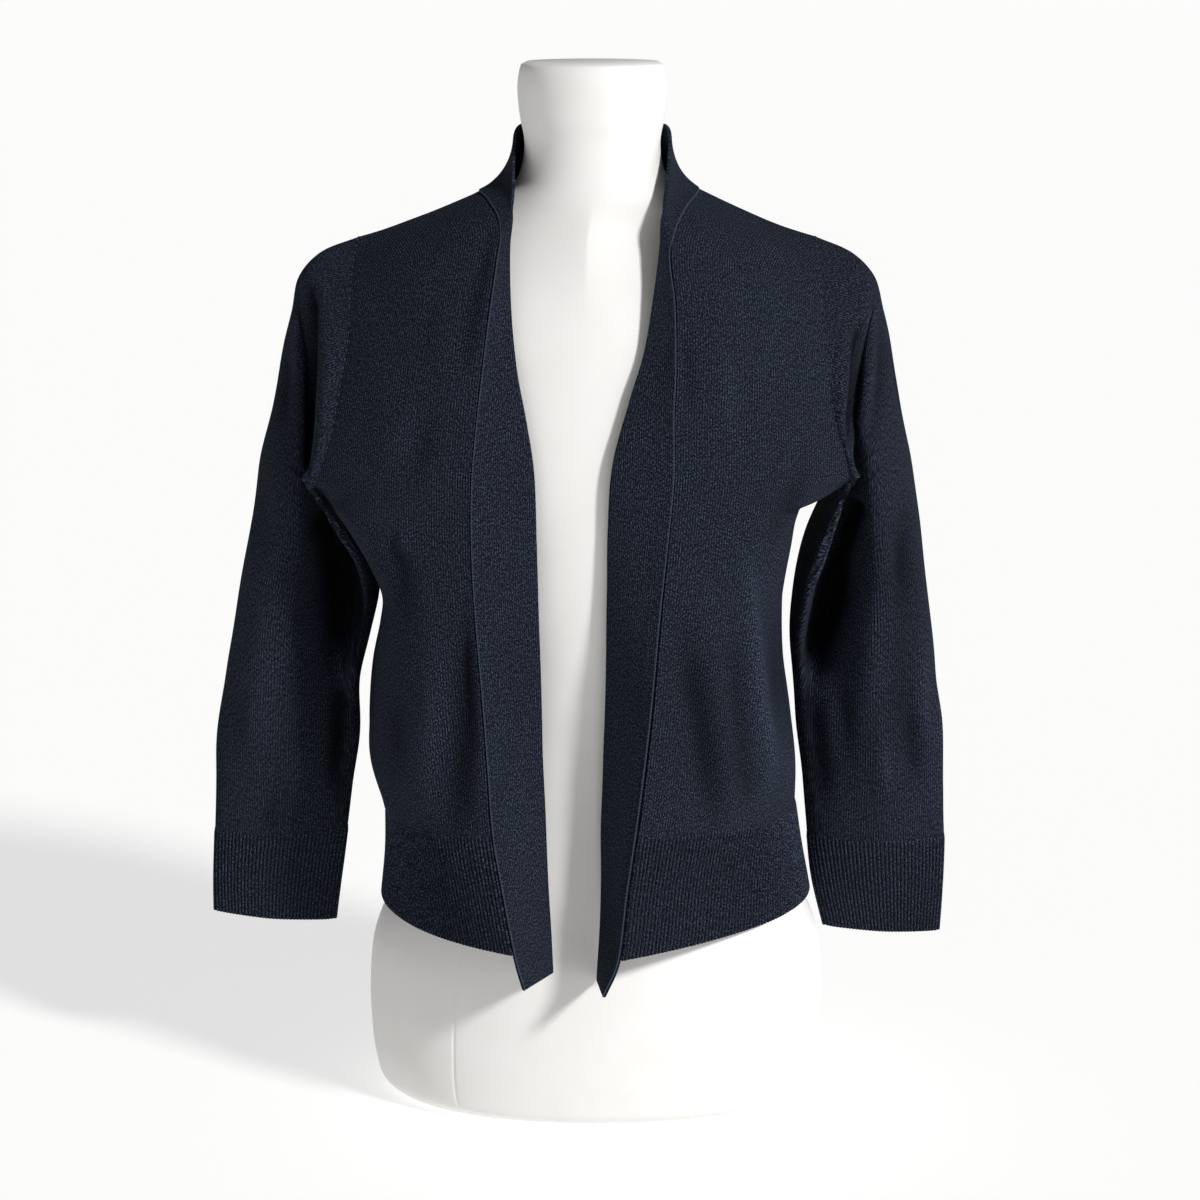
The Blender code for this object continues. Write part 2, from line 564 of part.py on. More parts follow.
def cloth_pieces():
    left = (BAND_LEFT, FRONT_LEFT, ARMHOLE_LEFT, SIDE_LEFT)
    right = (BAND_RIGHT, FRONT_RIGHT, ARMHOLE_RIGHT, SIDE_RIGHT)
    rows = 1 - 2 * FRONT_ROWS
    return [
        Cloth("front_left", front_grid(*left, FRONT_DOWN), JERSEY, NAVY),
        Cloth("front_right", front_grid(*right, FRONT_DOWN), JERSEY, NAVY, flip=True),
        Cloth("back", back_grid(BACK_DOWN), JERSEY, NAVY, flip=True),
        Cloth("hem_rib_front_left", front_grid(*left, RIB_DOWN), RIB, NAVY_RIB),
        Cloth("hem_rib_front_right", front_grid(*right, RIB_DOWN), RIB, NAVY_RIB, flip=True),
        Cloth("hem_rib_back", back_grid(RIB_DOWN), RIB, NAVY_RIB, flip=True),
        band("band_left", BAND_LEFT, rows, True),
        band("band_right", BAND_RIGHT, rows, False),
        Cloth("sleeve_left", sleeve_grid(ARMHOLE_LEFT, HEAD_FOLD_LEFT, SLEEVE_LEFT), JERSEY, NAVY,
              round_it=True),
        Cloth("sleeve_right", sleeve_grid(ARMHOLE_RIGHT, HEAD_FOLD_RIGHT, SLEEVE_RIGHT), JERSEY, NAVY,
              round_it=True, flip=True),
        Cloth("cuff_left", rings_of(CUFF_LEFT), RIB, NAVY_RIB, round_it=True),
        Cloth("cuff_right", rings_of(CUFF_RIGHT), RIB, NAVY_RIB, round_it=True, flip=True),
    ]


def main():
    for old in list(bpy.data.objects):
        bpy.data.objects.remove(old)
    pieces = cloth_pieces()
    share_normals(pieces)
    for piece in pieces:
        draw_in(piece)
        add_cloth(piece)
    add_form()


main()
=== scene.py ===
import bpy
import numpy as np
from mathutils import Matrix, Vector


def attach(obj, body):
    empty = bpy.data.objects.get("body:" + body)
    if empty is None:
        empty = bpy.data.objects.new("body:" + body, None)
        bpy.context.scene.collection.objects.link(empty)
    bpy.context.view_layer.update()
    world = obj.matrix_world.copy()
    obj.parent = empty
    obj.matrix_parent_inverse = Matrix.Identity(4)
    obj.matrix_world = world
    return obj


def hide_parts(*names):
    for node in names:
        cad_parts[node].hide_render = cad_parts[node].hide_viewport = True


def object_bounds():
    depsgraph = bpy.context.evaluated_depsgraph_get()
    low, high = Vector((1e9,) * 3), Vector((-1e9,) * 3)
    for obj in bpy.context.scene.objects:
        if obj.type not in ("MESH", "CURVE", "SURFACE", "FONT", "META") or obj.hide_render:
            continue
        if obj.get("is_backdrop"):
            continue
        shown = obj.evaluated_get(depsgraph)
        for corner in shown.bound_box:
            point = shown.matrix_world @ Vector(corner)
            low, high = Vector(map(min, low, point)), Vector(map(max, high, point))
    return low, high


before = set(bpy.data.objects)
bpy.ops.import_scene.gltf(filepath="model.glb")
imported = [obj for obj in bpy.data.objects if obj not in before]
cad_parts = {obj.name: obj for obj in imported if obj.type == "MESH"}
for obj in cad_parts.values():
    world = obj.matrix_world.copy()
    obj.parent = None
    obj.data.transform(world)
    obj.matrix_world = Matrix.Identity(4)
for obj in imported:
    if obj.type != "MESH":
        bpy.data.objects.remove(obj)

# A cropped navy cardigan, open down the front, on a limbless dress form. Tables are in millimetres and
# meshes in metres: X to the viewer's right, the front at -Y, Z up. Left and right are the wearer's.
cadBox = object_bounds()
mm = 0.001
print("frame loaded")


samples = {"row": 601, "line": 400, "crease": 25}  # points on a curve that is measured along its length
edgeLines = np.array([0, 0.2, 0.5, 1.0])  # grid lines near an edge, which is rounded there
shadingAngle = 1.0  # radians between two faces, above which their edge is sharp


def smoothCurve(at, knots, values):
    # Cubic pieces through the values, with each knot's slope from its two neighbours.
    at, knots, values = np.asarray(at, float), np.asarray(knots, float), np.asarray(values, float)
    slope = np.gradient(values, knots, axis=0)
    i = np.clip(np.searchsorted(knots, at, side="right") - 1, 0, len(knots) - 2)
    step = (knots[i + 1] - knots[i])[:, None]
    t = (at - knots[i])[:, None] / step
    ends = values[i] * (1 + 2 * t) * (1 - t) ** 2 + values[i + 1] * t * t * (3 - 2 * t)
    return ends + step * (slope[i] * t * (1 - t) ** 2 - slope[i + 1] * t * t * (1 - t))


def tableAt(at, rows):
    return smoothCurve(at, list(rows), list(rows.values()))


def between(rows, first, last):
    # The rows of a table from first to last, so that a curve through them ends there.
    return {down: row for down, row in rows.items() if first <= down <= last}


def numberedAt(at, rows):
    return smoothCurve(at, np.arange(len(rows)), list(rows.values()))


def closedAt(at, knots, values):
    # The same for a loop whose knots run from 0 to 1.
    knots, values = np.asarray(knots, float), np.asarray(values, float)
    around = np.concatenate([knots - 1, knots, knots + 1])
    return smoothCurve(at, around, np.concatenate([values] * 3))


def loopAt(at, rows):
    return closedAt(at, list(rows), list(rows.values()))


def arcRows(start, bend, end, pull, shares):
    # Each row leans towards its bend: (1-t)^2 start + 2t(1-t) pull bend + t^2 end, over the sum of the three
    # weights, read off at the given shares of its length.
    t = np.linspace(0, 1, samples["row"])[None, :, None]
    pull = np.asarray(pull, float)[:, None, None]
    a, b, c = (1 - t) ** 2, 2 * t * (1 - t) * pull, t * t
    rows = (a * start[:, None] + b * bend[:, None] + c * end[:, None]) / (a + b + c)
    far = np.cumsum(np.linalg.norm(np.diff(rows, axis=1, prepend=rows[:, :1]), axis=2), axis=1)
    found = [[np.interp(shares * run[-1], run, row[:, i]) for i in range(3)] for row, run in zip(rows, far)]
    return np.array(found).transpose(0, 2, 1)


def unit(v):
    return v / np.maximum(np.linalg.norm(v, axis=-1, keepdims=True), 1e-9)


def lengths(grid, axis):
    # Distance run along the grid's lines, from 0 at their first point.
    first = grid[:1] if axis == 0 else grid[:, :1]
    return np.cumsum(np.linalg.norm(np.diff(grid, axis=axis, prepend=first), axis=2), axis=axis)


def spread(length, step):
    # Shares of a length, a step apart, with closer lines at both ends. Their number is odd, because the
    # inner face uses every second one.
    count = 2 * int(round(length / step / 2))
    close = edgeLines / length
    middle = close[-1] + (1 - 2 * close[-1]) * np.linspace(0, 1, count + 1)
    return np.concatenate([close[:-1], middle, 1 - close[-2::-1]])


def evenly(line, first, last, shares):
    # Places between first and last that lie at the given shares of the line's length.
    at = np.linspace(first, last, samples["line"])
    far = np.cumsum(np.linalg.norm(np.diff(line(at), axis=0, prepend=line(at[:1])), axis=1))
    return np.interp(shares * far[-1], far, at)


def smoothStep(x):
    x = np.clip(x, 0, 1)
    return x * x * (3 - 2 * x)


# The two edges of the front band: the seam and the free edge. Curl is how far its width follows the neck
# before it flares to the seam. Row 2 is the shoulder, 14 the top of the hem rib, 16 the hem.
bandLeft = {  # place         seam x, y, z        free edge x, y, z   curl
    "back neck":       (0.15, 67, 689,    0.15, 59.5, 734,    0.8),
    "back quarter":    (44, 55, 690,      34, 49, 735,        0.8),
    "shoulder":        (73, 6, 691,       50.5, 21, 736,      0.95),
    "side of neck":    (63, -38, 680,     51.5, -17, 719,     0.7),
    "front of neck":   (54, -62, 664,     47.5, -50, 690,     0.3),
    "collarbone":      (53, -74, 646,     46, -62, 662,       0.1),
    "upper chest":     (56, -88, 619,     42, -77, 630,       0),
    "chest":           (56.5, -103, 577,  34.5, -92, 587,     0),
    "armhole":         (55, -113, 543,    24, -101, 553,      0),
    "underarm":        (55, -120, 502,    12, -108, 508,      0),
    "bust":            (51, -125.5, 455,  9, -108, 458,       0),
    "below bust":      (46.5, -129, 408,  9, -105, 410,       0),
    "waist":           (41, -131, 340,    8.5, -99, 341,      0),
    "below waist":     (36, -132, 291,    7.5, -96, 291,      0),
    "rib top":         (30, -134, 243,    6.5, -96, 243,      0),
    "rib":             (24, -138, 200,    6, -99, 201,        0),
    "hem":             (18, -143, 152,    4.5, -104, 156,     0),
    "lower end":       (7, -147, 125,     3, -107, 122,       0),
}
bandRight = {
    "back neck":       (-0.15, 67, 689,     -0.15, 59.5, 734,   0.8),
    "back quarter":    (-46, 55, 690,       -38, 49, 735,       0.8),
    "shoulder":        (-81.5, 4, 690,      -55, 20, 736,       0.95),
    "side of neck":    (-76, -36, 686,      -57.5, -17, 718,    0.7),
    "front of neck":   (-67, -60, 672,      -57, -50, 692,      0.3),
    "collarbone":      (-70, -74, 650,      -61, -64, 660,      0.1),
    "upper chest":     (-75, -90, 615,      -60.5, -78, 620,    0),
    "chest":           (-80, -105, 572,     -56, -93, 575,      0),
    "armhole":         (-84, -113, 535,     -49, -101, 538,     0),
    "underarm":        (-87, -119, 500,     -43.5, -107, 502,   0),
    "bust":            (-87.5, -124, 455,   -42, -112, 455,     0),
    "below bust":      (-85.5, -126, 405,   -41, -111, 405,     0),
    "waist":           (-81, -127, 340,     -39.5, -107, 339,   0),
    "below waist":     (-78, -128, 290,     -39, -104, 290,     0),
    "rib top":         (-75, -131, 243,     -37.5, -103, 243,   0),
    "rib":             (-69, -136, 205,     -36.5, -103, 204,   0),
    "hem":             (-60, -143, 156,     -34.5, -105, 160,   0),
    "lower end":       (-53, -146, 130,     -33, -108, 129,     0),
}

# The armhole seam and, a little further out, the fold where the sleeve head turns back. Round is 0 at the
# underarm, 0.1 at the front corner of the underarm fold, 0.5 at the shoulder seam and 0.75 at the back.
armholeLeft = {  # round: x, y, z
    0.00: (174, -30, 481), 0.05: (178.5, -51, 483.5), 0.10: (182, -67, 491.5), 0.17: (178, -71, 508.5),
    0.22: (173.5, -70, 523), 0.29: (167, -63, 548.5), 0.36: (164, -52, 582), 0.43: (161, -33, 617),
    0.47: (160, -18, 639), 0.50: (160, 0, 655), 0.55: (161, 22, 640), 0.62: (163, 42, 605),
    0.72: (166, 54, 560), 0.84: (172, 50, 515), 0.92: (177, 30, 490),
}
armholeRight = {
    0.00: (-192, -32, 474), 0.05: (-197.5, -51, 477.5), 0.10: (-200.5, -66, 487), 0.17: (-195, -71, 503.5),
    0.22: (-188.5, -69, 524), 0.29: (-182, -60, 558), 0.36: (-177, -51, 588), 0.43: (-176, -34, 620),
    0.47: (-175, -18, 640), 0.50: (-173, 0, 655), 0.55: (-174, 22, 640), 0.62: (-176, 42, 605),
    0.72: (-180, 54, 560), 0.84: (-187, 50, 512), 0.92: (-193, 30, 484),
}
headFoldLeft = {
    0.00: (178, -32, 478.5), 0.05: (183.5, -53, 480.5), 0.10: (187, -68.5, 489), 0.17: (182, -71, 508),
    0.22: (178, -68, 526), 0.29: (181, -59, 549.5), 0.36: (187, -45, 579), 0.43: (194, -27, 605),
    0.47: (196, -14, 627), 0.50: (188, 0, 643), 0.55: (186, 24, 631), 0.62: (188, 44, 600),
    0.72: (190, 56, 556), 0.84: (190, 50, 510), 0.92: (184, 28, 486),
}
headFoldRight = {
    0.00: (-197.5, -33, 471.5), 0.05: (-204, -53, 475), 0.10: (-208.5, -69, 485.5), 0.17: (-203, -70, 503.5),
    0.22: (-199.5, -67, 523), 0.29: (-198, -59, 551), 0.36: (-198, -46, 583), 0.43: (-202, -28, 608),
    0.47: (-208, -14, 629), 0.50: (-201.5, 0, 643.5), 0.55: (-201, 24, 631), 0.62: (-203, 44, 600),
    0.72: (-204, 56, 556), 0.84: (-205, 50, 506), 0.92: (-200, 28, 480),
}

# Sleeve rings below the fold, each from its inner point, near the body, to its outer one; "at" is a share
# of that distance. The fold edge hangs from the underarm corner with the groove behind it.
sleeveLeftRings = {
    # ring        inner x, y, z     outer x, z   edge at, y  groove at, y  front at, y  back y
    "valley":    (180, -28, 475,    202, 628,    0.10, -69,  0.20, -54,    0.47, -28,   56),
    "ridge":     (178, -22, 469,    210, 602,    0.11, -66,  0.20, -34,    0.47, -37,   53),
    "upper":     (171, -12, 461,    220, 558,    0.15, -60,  0.23, -18,    0.50, -42,   49),
    "arm":       (163, -4, 450,     230.5, 505,  0.17, -52,  0.25, -8,     0.55, -43,   46),
    "elbow top": (155.5, 2, 428,    239.5, 452,  0.13, -42,  0.22, 0,      0.58, -40,   43),
    "elbow":     (149.5, 4, 394,    247.5, 394,  0.08, -31,  0.17, 2,      0.60, -37,   41),
    "below":     (148, 4, 360,      252.5, 358,  0.06, -18,  0.14, 0,      0.58, -34,   38),
    "lower":     (151, 4, 331,      255.5, 330,  0.04, -10,  0.11, -6,     0.55, -31,   34),
    "forearm":   (158, 3, 268,      262, 268,    0.03, -8,   0.10, -12,    0.52, -25,   27),
    "cuff top":  (164, 2, 202,      266, 200,    0.03, -6,   0.10, -10,    0.50, -18,   20),
}
sleeveRightRings = {
    "valley":    (-200, -28, 468,   -216, 627,   0.10, -68,  0.20, -54,    0.47, -26,   56),
    "ridge":     (-198, -22, 462,   -222, 602,   0.11, -65,  0.20, -34,    0.47, -34,   53),
    "upper":     (-190, -12, 453,   -234, 557,   0.14, -58,  0.22, -18,    0.50, -39,   49),
    "arm":       (-179, -2, 442,    -246, 505,   0.15, -49,  0.25, -8,     0.57, -41,   46),
    "elbow top": (-166, 4, 418,     -255, 450,   0.12, -36,  0.25, 0,      0.60, -38,   43),
    "elbow":     (-165, 5, 390,     -266.5, 394, 0.09, -22,  0.22, 3,      0.60, -36,   41),
    "below":     (-173, 5, 358,     -273, 358,   0.05, -12,  0.15, 0,      0.58, -34,   38),
    "lower":     (-180, 4, 331,     -278, 331,   0.04, -9,   0.12, -5,     0.55, -31,   34),
    "forearm":   (-185, 3, 268,     -287, 269,   0.03, -8,   0.10, -12,    0.52, -25,   27),
    "cuff top":  (-193, 2, 208,     -291, 205,   0.03, -6,   0.10, -10,    0.50, -18,   20),
}
cuffLeftRings = {
    "top":       (164, 2, 202,      266, 200,    0.03, -6,   0.10, -10,    0.50, -18,   20),
    "middle":    (169, 1, 164,      265.5, 161,  0.03, -4,   0.10, -7,     0.50, -14,   16),
    "end":       (178, 1, 127,      264, 122,    0.03, -3,   0.10, -5.5,   0.50, -10,   12),
}
cuffRightRings = {
    "top":       (-193, 2, 208,     -291, 205,   0.03, -6,   0.10, -10,    0.50, -18,   20),
    "middle":    (-198, 1, 170,     -293, 170,   0.03, -4,   0.10, -7,     0.50, -14,   16),
    "end":       (-203, 1, 132,     -294, 138,   0.03, -3,   0.10, -5.5,   0.50, -10,   12),
}

# Rows across a front, from the band seam to the armhole (down 0 to 1, shoulder to underarm) or the side
# seam (1 to 2, underarm to rib, then 3 at the hem). Each bends towards the point given.
frontLeft = {  # down: band row, bend x, y, z, pull
    0.00: (2.0, 118, 0, 669, 1.0),
    0.07: (3.0, 112, -36, 664, 1.0),
    0.14: (4.0, 108, -58, 650, 1.0),
    0.28: (5.8, 112, -84, 608, 1.0),
    0.42: (7.05, 117, -100, 563, 1.0),
    0.56: (8.15, 122, -109, 531, 1.0),
    0.66: (8.7, 127, -111, 514, 1.1),
    0.80: (9.15, 138, -110, 497, 1.25),
    0.90: (9.4, 160, -101.5, 486, 1.4),
    1.00: (9.6, 164, -102, 479, 1.8),
    1.10: (9.8, 152, -104, 471, 1.8),
    1.20: (10.0, 146, -109, 459, 1.8),
    1.32: (10.35, 143, -112, 440, 1.7),
    1.50: (11.2, 138.5, -112, 395, 1.4),
    1.66: (11.9, 139, -114, 348, 1.2),
    1.82: (12.8, 146, -112, 299, 1.1),
    2.00: (14.0, 149, -98, 236, 1.0),
    2.50: (15.0, 160, -76, 195, 1.0),
    3.00: (16.0, 165.5, -70, 154, 0.97),
}
frontRight = {
    0.00: (2.0, -128, 0, 669, 1.0),
    0.07: (3.0, -125, -36, 665, 1.0),
    0.14: (4.0, -122, -60, 652, 1.0),
    0.28: (5.8, -126, -85, 608, 1.0),
    0.42: (7.0, -132, -100, 566, 1.0),
    0.56: (8.0, -138, -107, 532, 1.0),
    0.66: (8.6, -144, -108.5, 512, 1.1),
    0.80: (9.1, -157, -106, 492, 1.2),
    0.90: (9.45, -180, -98, 476, 1.5),
    1.00: (9.7, -190, -98, 466, 1.9),
    1.10: (10.0, -184, -100, 449, 1.9),
    1.20: (10.45, -172, -104, 426, 1.8),
    1.32: (10.9, -163, -109, 406, 1.6),
    1.50: (11.4, -164.5, -109, 377, 1.4),
    1.66: (12.0, -168, -112, 341, 1.2),
    1.82: (12.8, -169, -113, 297, 1.1),
    2.00: (14.0, -158.5, -113, 236, 1.0),
    2.50: (15.0, -161, -102, 198, 0.9),
    3.00: (16.0, -165.5, -90, 156, 0.85),
}
sideLeft = {
    1.00: (174, -30, 481), 1.10: (153, -14, 473), 1.20: (147, -8, 460), 1.32: (143.5, -4, 440),
    1.50: (138, 0, 395), 1.66: (139, 0, 348), 1.82: (146, 2, 299), 1.92: (150, 2, 262),
    2.00: (150.5, 2, 229), 2.50: (156.5, 2, 190), 3.00: (162.5, 2, 158),
}
sideRight = {
    1.00: (-192, -32, 474), 1.10: (-173, -20, 452), 1.20: (-159, -14, 427), 1.32: (-153, -8, 405),
    1.50: (-158, -3, 377), 1.66: (-166, 0, 341), 1.82: (-170, 2, 297), 1.92: (-170, 2, 262),
    2.00: (-158.5, 2, 229), 2.50: (-160, 2, 190), 3.00: (-163.5, 2, 156),
}
backRows = {  # down: centre y, z, bend x share, y, z, pull
    0.00: (67, 689, 0.60, 30, 678, 1.0),
    0.10: (74, 672, 0.68, 60, 661, 1.0),
    0.25: (82, 647, 0.78, 78, 631, 1.0),
    0.50: (89, 601, 0.84, 88, 590, 1.0),
    0.75: (91, 548, 0.90, 90, 540, 1.0),
    0.90: (91, 512, 0.92, 92, 508, 1.2),
    1.00: (90, 490, 0.93, 92, 488, 1.3),
    1.10: (89.5, 472, 0.97, 92, 471, 1.3),
    1.20: (89, 455, 1.00, 90, 457, 1.2),
    1.32: (88, 434, 1.00, 89, 436, 1.1),
    1.50: (87, 394, 1.00, 88, 395, 1.0),
    1.66: (87, 347, 1.00, 88, 347, 1.0),
    1.82: (88, 297, 1.00, 89, 297, 1.0),
    2.00: (93, 234, 1.00, 93, 232, 0.95),
    2.50: (105, 194, 1.00, 102, 192, 0.9),
    3.00: (114, 155, 1.00, 108, 155, 0.85),
}
left = {"band": bandLeft, "front": frontLeft, "armhole": armholeLeft, "side": sideLeft}
right = {"band": bandRight, "front": frontRight, "armhole": armholeRight, "side": sideRight}

knit = {
    "step": 1.9,  # between the lines of a smooth panel's grid
    "jerseyWall": 1.6,
    "ribWall": 1.9,
    "bandWall": 2.8,  # two layers
    "ribPitch": 2.9,  # one knit and one purl wale, drawn a fifth wider than they are so that they show
    "ribColumns": 8,  # grid lines to a rib
    "ribRows": 2.6,  # between a rib's rows
    "ribDepth": 1.1,
    "ribPower": 0.8,  # below 1, so that a rib's top is broader than a cosine's
    "ribMiddle": 0.55,  # of the wave, so that the ribs make the wall no thicker
    "ribFade": 4,  # over which the ribs rise from the plain knit
    "seamRound": 0.5,
    "tightRound": 0.25,  # of a seam that lies closed
    "ribSeamRound": 0.3,
    "hemRound": 0.9,
    "freeRound": 0.9,  # edges rounded by this much or more are free and are rounded on both faces
    "seamFade": 9,  # how far creases keep from the band's seam
}


def stretchOf(down):
    # The tables' stretch that the rows lie in, above the rib's top or below it.
    return (0, 2) if down[-1] <= 2 else (2, 3)


def sideEdge(half, down, places):
    # The armhole, read off at the given places round it, and below the underarm the side seam.
    over = loopAt(places, half["armhole"])
    under = tableAt(np.maximum(down, 1), between(half["side"], *stretchOf(down)))
    return np.where((down <= 1)[:, None], over, under)


def frontSurface(half, down, shares):
    # Rows from the band seam to the armhole or side seam, either above the rib's top or below it.
    found = tableAt(down, between(half["front"], *stretchOf(down)))
    start = numberedAt(found[:, 0], half["band"])[:, :3]
    end = sideEdge(half, down, 0.5 * (1 - np.minimum(down, 1)))
    return arcRows(start, found[:, 1:4], end, found[:, 4], shares)


def backHalf(half, down, shares):
    # Rows from the centre back to one side. The top row follows the neck and shoulder seams, and the rows
    # below it let go of them within a third of the armhole.
    neckShare = 4 / 12  # of the top row, up to the shoulder seam
    letGo = 0.35  # down
    found = tableAt(down, between(backRows, *stretchOf(down)))
    end = sideEdge(half, down, 0.5 + 0.5 * np.minimum(down, 1))
    start = np.stack([0 * found[:, 0], found[:, 0], found[:, 1]], axis=-1)
    bend = np.stack([found[:, 2] * end[:, 0], found[:, 3], found[:, 4]], axis=-1)
    grid = arcRows(start, bend, end, found[:, 5], shares)
    if down[0] == 0:
        onNeck = shares <= neckShare
        neck = numberedAt(2 * shares[onNeck] / neckShare, half["band"])[:, :3]
        neck[0, 0] = 0
        top = frontSurface(half, np.array([0.0]), (shares[~onNeck] - neckShare) / (1 - neckShare))[0]
        fade = np.clip(1 - down / letGo, 0, 1)[:, None, None] ** 2
        grid = grid + fade * (np.concatenate([neck, top]) - grid[0])[None]
    return grid


def backSurface(down, shares):
    # From the right side to the left, through the centre back. shares are of one half.
    halves = [backHalf(right, down, shares), backHalf(left, down, shares)]
    return np.concatenate([halves[0][:, :0:-1], halves[1]], axis=1)


def sleeveRing(ring, around):
    # Share of the way out and depth, both smooth round the ring through its named places.
    inner, outer, named, back = np.array(ring[:3]), ring[3:5], ring[5:11], ring[11]
    at = [0, 0.10, 0.16, 0.30, 0.50, 0.75, 0.92]
    shares = [0, *named[0::2], 1, 0.5, 0.1]
    depths = [inner[1], *named[1::2], 0, back, 0.65 * back + 0.35 * inner[1]]
    found = closedAt(around, at, np.stack([shares, depths], axis=-1))
    share, y = found[:, :1], found[:, 1:]
    level = inner * [1, 0, 1] * (1 - share) + np.array([outer[0], 0, outer[1]]) * share
    return level + np.array([0, 1, 0]) * y


def throughRings(rings, shares):
    # Smooth lines through the rings, read off at shares of their mean distance.
    rings = np.array(rings)
    gaps = np.linalg.norm(np.diff(rings, axis=0), axis=2).mean(axis=1)
    knots = np.concatenate([[0], np.cumsum(gaps)])
    found = smoothCurve(shares * knots[-1], knots, rings.reshape(len(rings), -1))
    return found.reshape(len(shares), -1, 3)


def bandSurface(rows, at, shares):
    # Rows from the seam to the free edge, with the bend drawn towards the neck by the curl.
    edges = numberedAt(at, rows)
    seam, free, curl = edges[:, :3], edges[:, 3:6], edges[:, 6:]
    bend = (seam + free) / 2
    bend[:, :2] += curl * (free - bend)[:, :2]
    bend[:, 2:] += curl * 0.5 * (seam - bend)[:, 2:]
    return arcRows(seam, bend, free, np.ones(len(at)), shares)


def normalsOf(grid, tube, flip):
    # Square to the grid's two directions.
    down = np.gradient(grid, axis=0)
    if tube:
        across = np.roll(grid, -1, axis=1) - np.roll(grid, 1, axis=1)
    else:
        across = np.gradient(grid, axis=1)
    return unit(np.cross(across, down)) * (-1 if flip else 1)


# A crease is a soft trough (depth below 0) or ridge along a short path, seen from one side: depth in the
# middle of its path, falling off with exp(-(distance / width)^2), and fading over shares of its length
# at its upper and lower end. Its path is x, z from the front or the back and y, z from a side.
sides = {"front": (0, 1, -1), "back": (0, 1, 1), "left": (1, 0, 1), "right": (1, 0, -1)}

# Besides moving the cloth, each crease's lift also sets the painted shade in its hollow and the painted light
# on its ridge.
bodyCreases = [  # side, depth, width, fade at top, fade at foot, path
    ("front", 4.2, 6, 0.3, 0.3, [(103, 469), (110, 400), (119, 327), (126, 290), (127, 238)]),
    ("front", -4.6, 11, 0.4, 0.4, [(60, 420), (66, 370), (76, 320), (84, 263), (90, 225)]),
    ("front", -1.8, 6, 0.4, 0.5, [(58, 620), (60, 590), (64, 560), (72, 530)]),
    ("front", 1.4, 7, 0.5, 0.5, [(84, 610), (90, 560), (93, 510)]),
    ("front", -3.2, 8, 0.4, 0.4, [(95, 410), (100, 350), (108, 280), (110, 240)]),
    ("front", 2.8, 10, 0.5, 0.5, [(138, 340), (142, 295), (147, 250), (150, 222)]),
    ("front", -2.8, 8, 0.5, 0.5, [(126, 420), (131, 370), (135, 320), (138, 270)]),
    ("front", -2.4, 8, 0.4, 0.5, [(151, 515), (140, 490), (128, 462), (120, 440)]),
    ("front", 2.6, 4.5, 0.4, 0.5, [(-139, 468), (-134, 452), (-129, 438)]),
    ("front", -3.2, 8, 0.4, 0.5, [(-145, 470), (-139, 445), (-136, 411), (-139, 380)]),
    ("front", -5.0, 10, 0.4, 0.3, [(-84, 440), (-88, 390), (-92, 340), (-97, 280), (-104, 215)]),
    ("front", 3.2, 10, 0.5, 0.4, [(-112, 430), (-116, 350), (-122, 290), (-127, 235)]),
    ("front", -2.4, 7, 0.4, 0.4, [(-68, 680), (-75, 655), (-84, 625), (-91, 590), (-95, 560)]),
    ("front", 2.6, 4.5, 0.4, 0.5, [(-156, 255), (-151, 238), (-145, 219)]),
    ("front", -2.8, 8, 0.5, 0.5, [(-140, 350), (-144, 310), (-150, 262)]),
    ("front", -1.8, 8, 0.5, 0.5, [(-114, 560), (-122, 520), (-132, 480)]),
    ("front", 1.3, 8, 0.5, 0.5, [(-128, 560), (-140, 525), (-155, 495)]),
    ("front", -1.0, 7, 0.5, 0.5, [(-112, 640), (-118, 600), (-121, 560)]),
    ("back", -3.8, 13, 0.5, 0.4, [(-60, 470), (-66, 400), (-62, 330), (-55, 270)]),
    ("back", 3.2, 12, 0.5, 0.4, [(-28, 440), (-24, 370), (-22, 300), (-25, 240)]),
    ("back", -3.6, 12, 0.5, 0.4, [(12, 455), (10, 380), (14, 310), (18, 250)]),
    ("back", 3.0, 13, 0.4, 0.4, [(52, 460), (58, 390), (60, 320), (56, 255)]),
    ("back", -3.4, 11, 0.5, 0.4, [(96, 440), (100, 370), (98, 300), (92, 245)]),
    ("back", 2.8, 11, 0.5, 0.4, [(-104, 430), (-106, 360), (-102, 300), (-96, 250)]),
    ("back", -2.8, 9, 0.4, 0.6, [(150, 530), (128, 500), (104, 480), (80, 470)]),
    ("back", -2.6, 9, 0.4, 0.6, [(-162, 525), (-140, 496), (-112, 476), (-88, 468)]),
    ("back", -2.0, 8, 0.5, 0.5, [(132, 610), (126, 580), (122, 545)]),
    ("back", -1.9, 8, 0.5, 0.5, [(-140, 612), (-134, 580), (-131, 548)]),
    ("left", -2.8, 9, 0.5, 0.5, [(-40, 440), (-34, 390), (-36, 330), (-44, 270)]),
    ("left", 2.4, 9, 0.5, 0.5, [(30, 430), (34, 380), (36, 320), (42, 260)]),
    ("right", -2.8, 9, 0.5, 0.5, [(-44, 420), (-40, 370), (-44, 320), (-52, 262)]),
    ("right", 2.4, 9, 0.5, 0.5, [(32, 420), (36, 370), (36, 310), (44, 255)]),
]
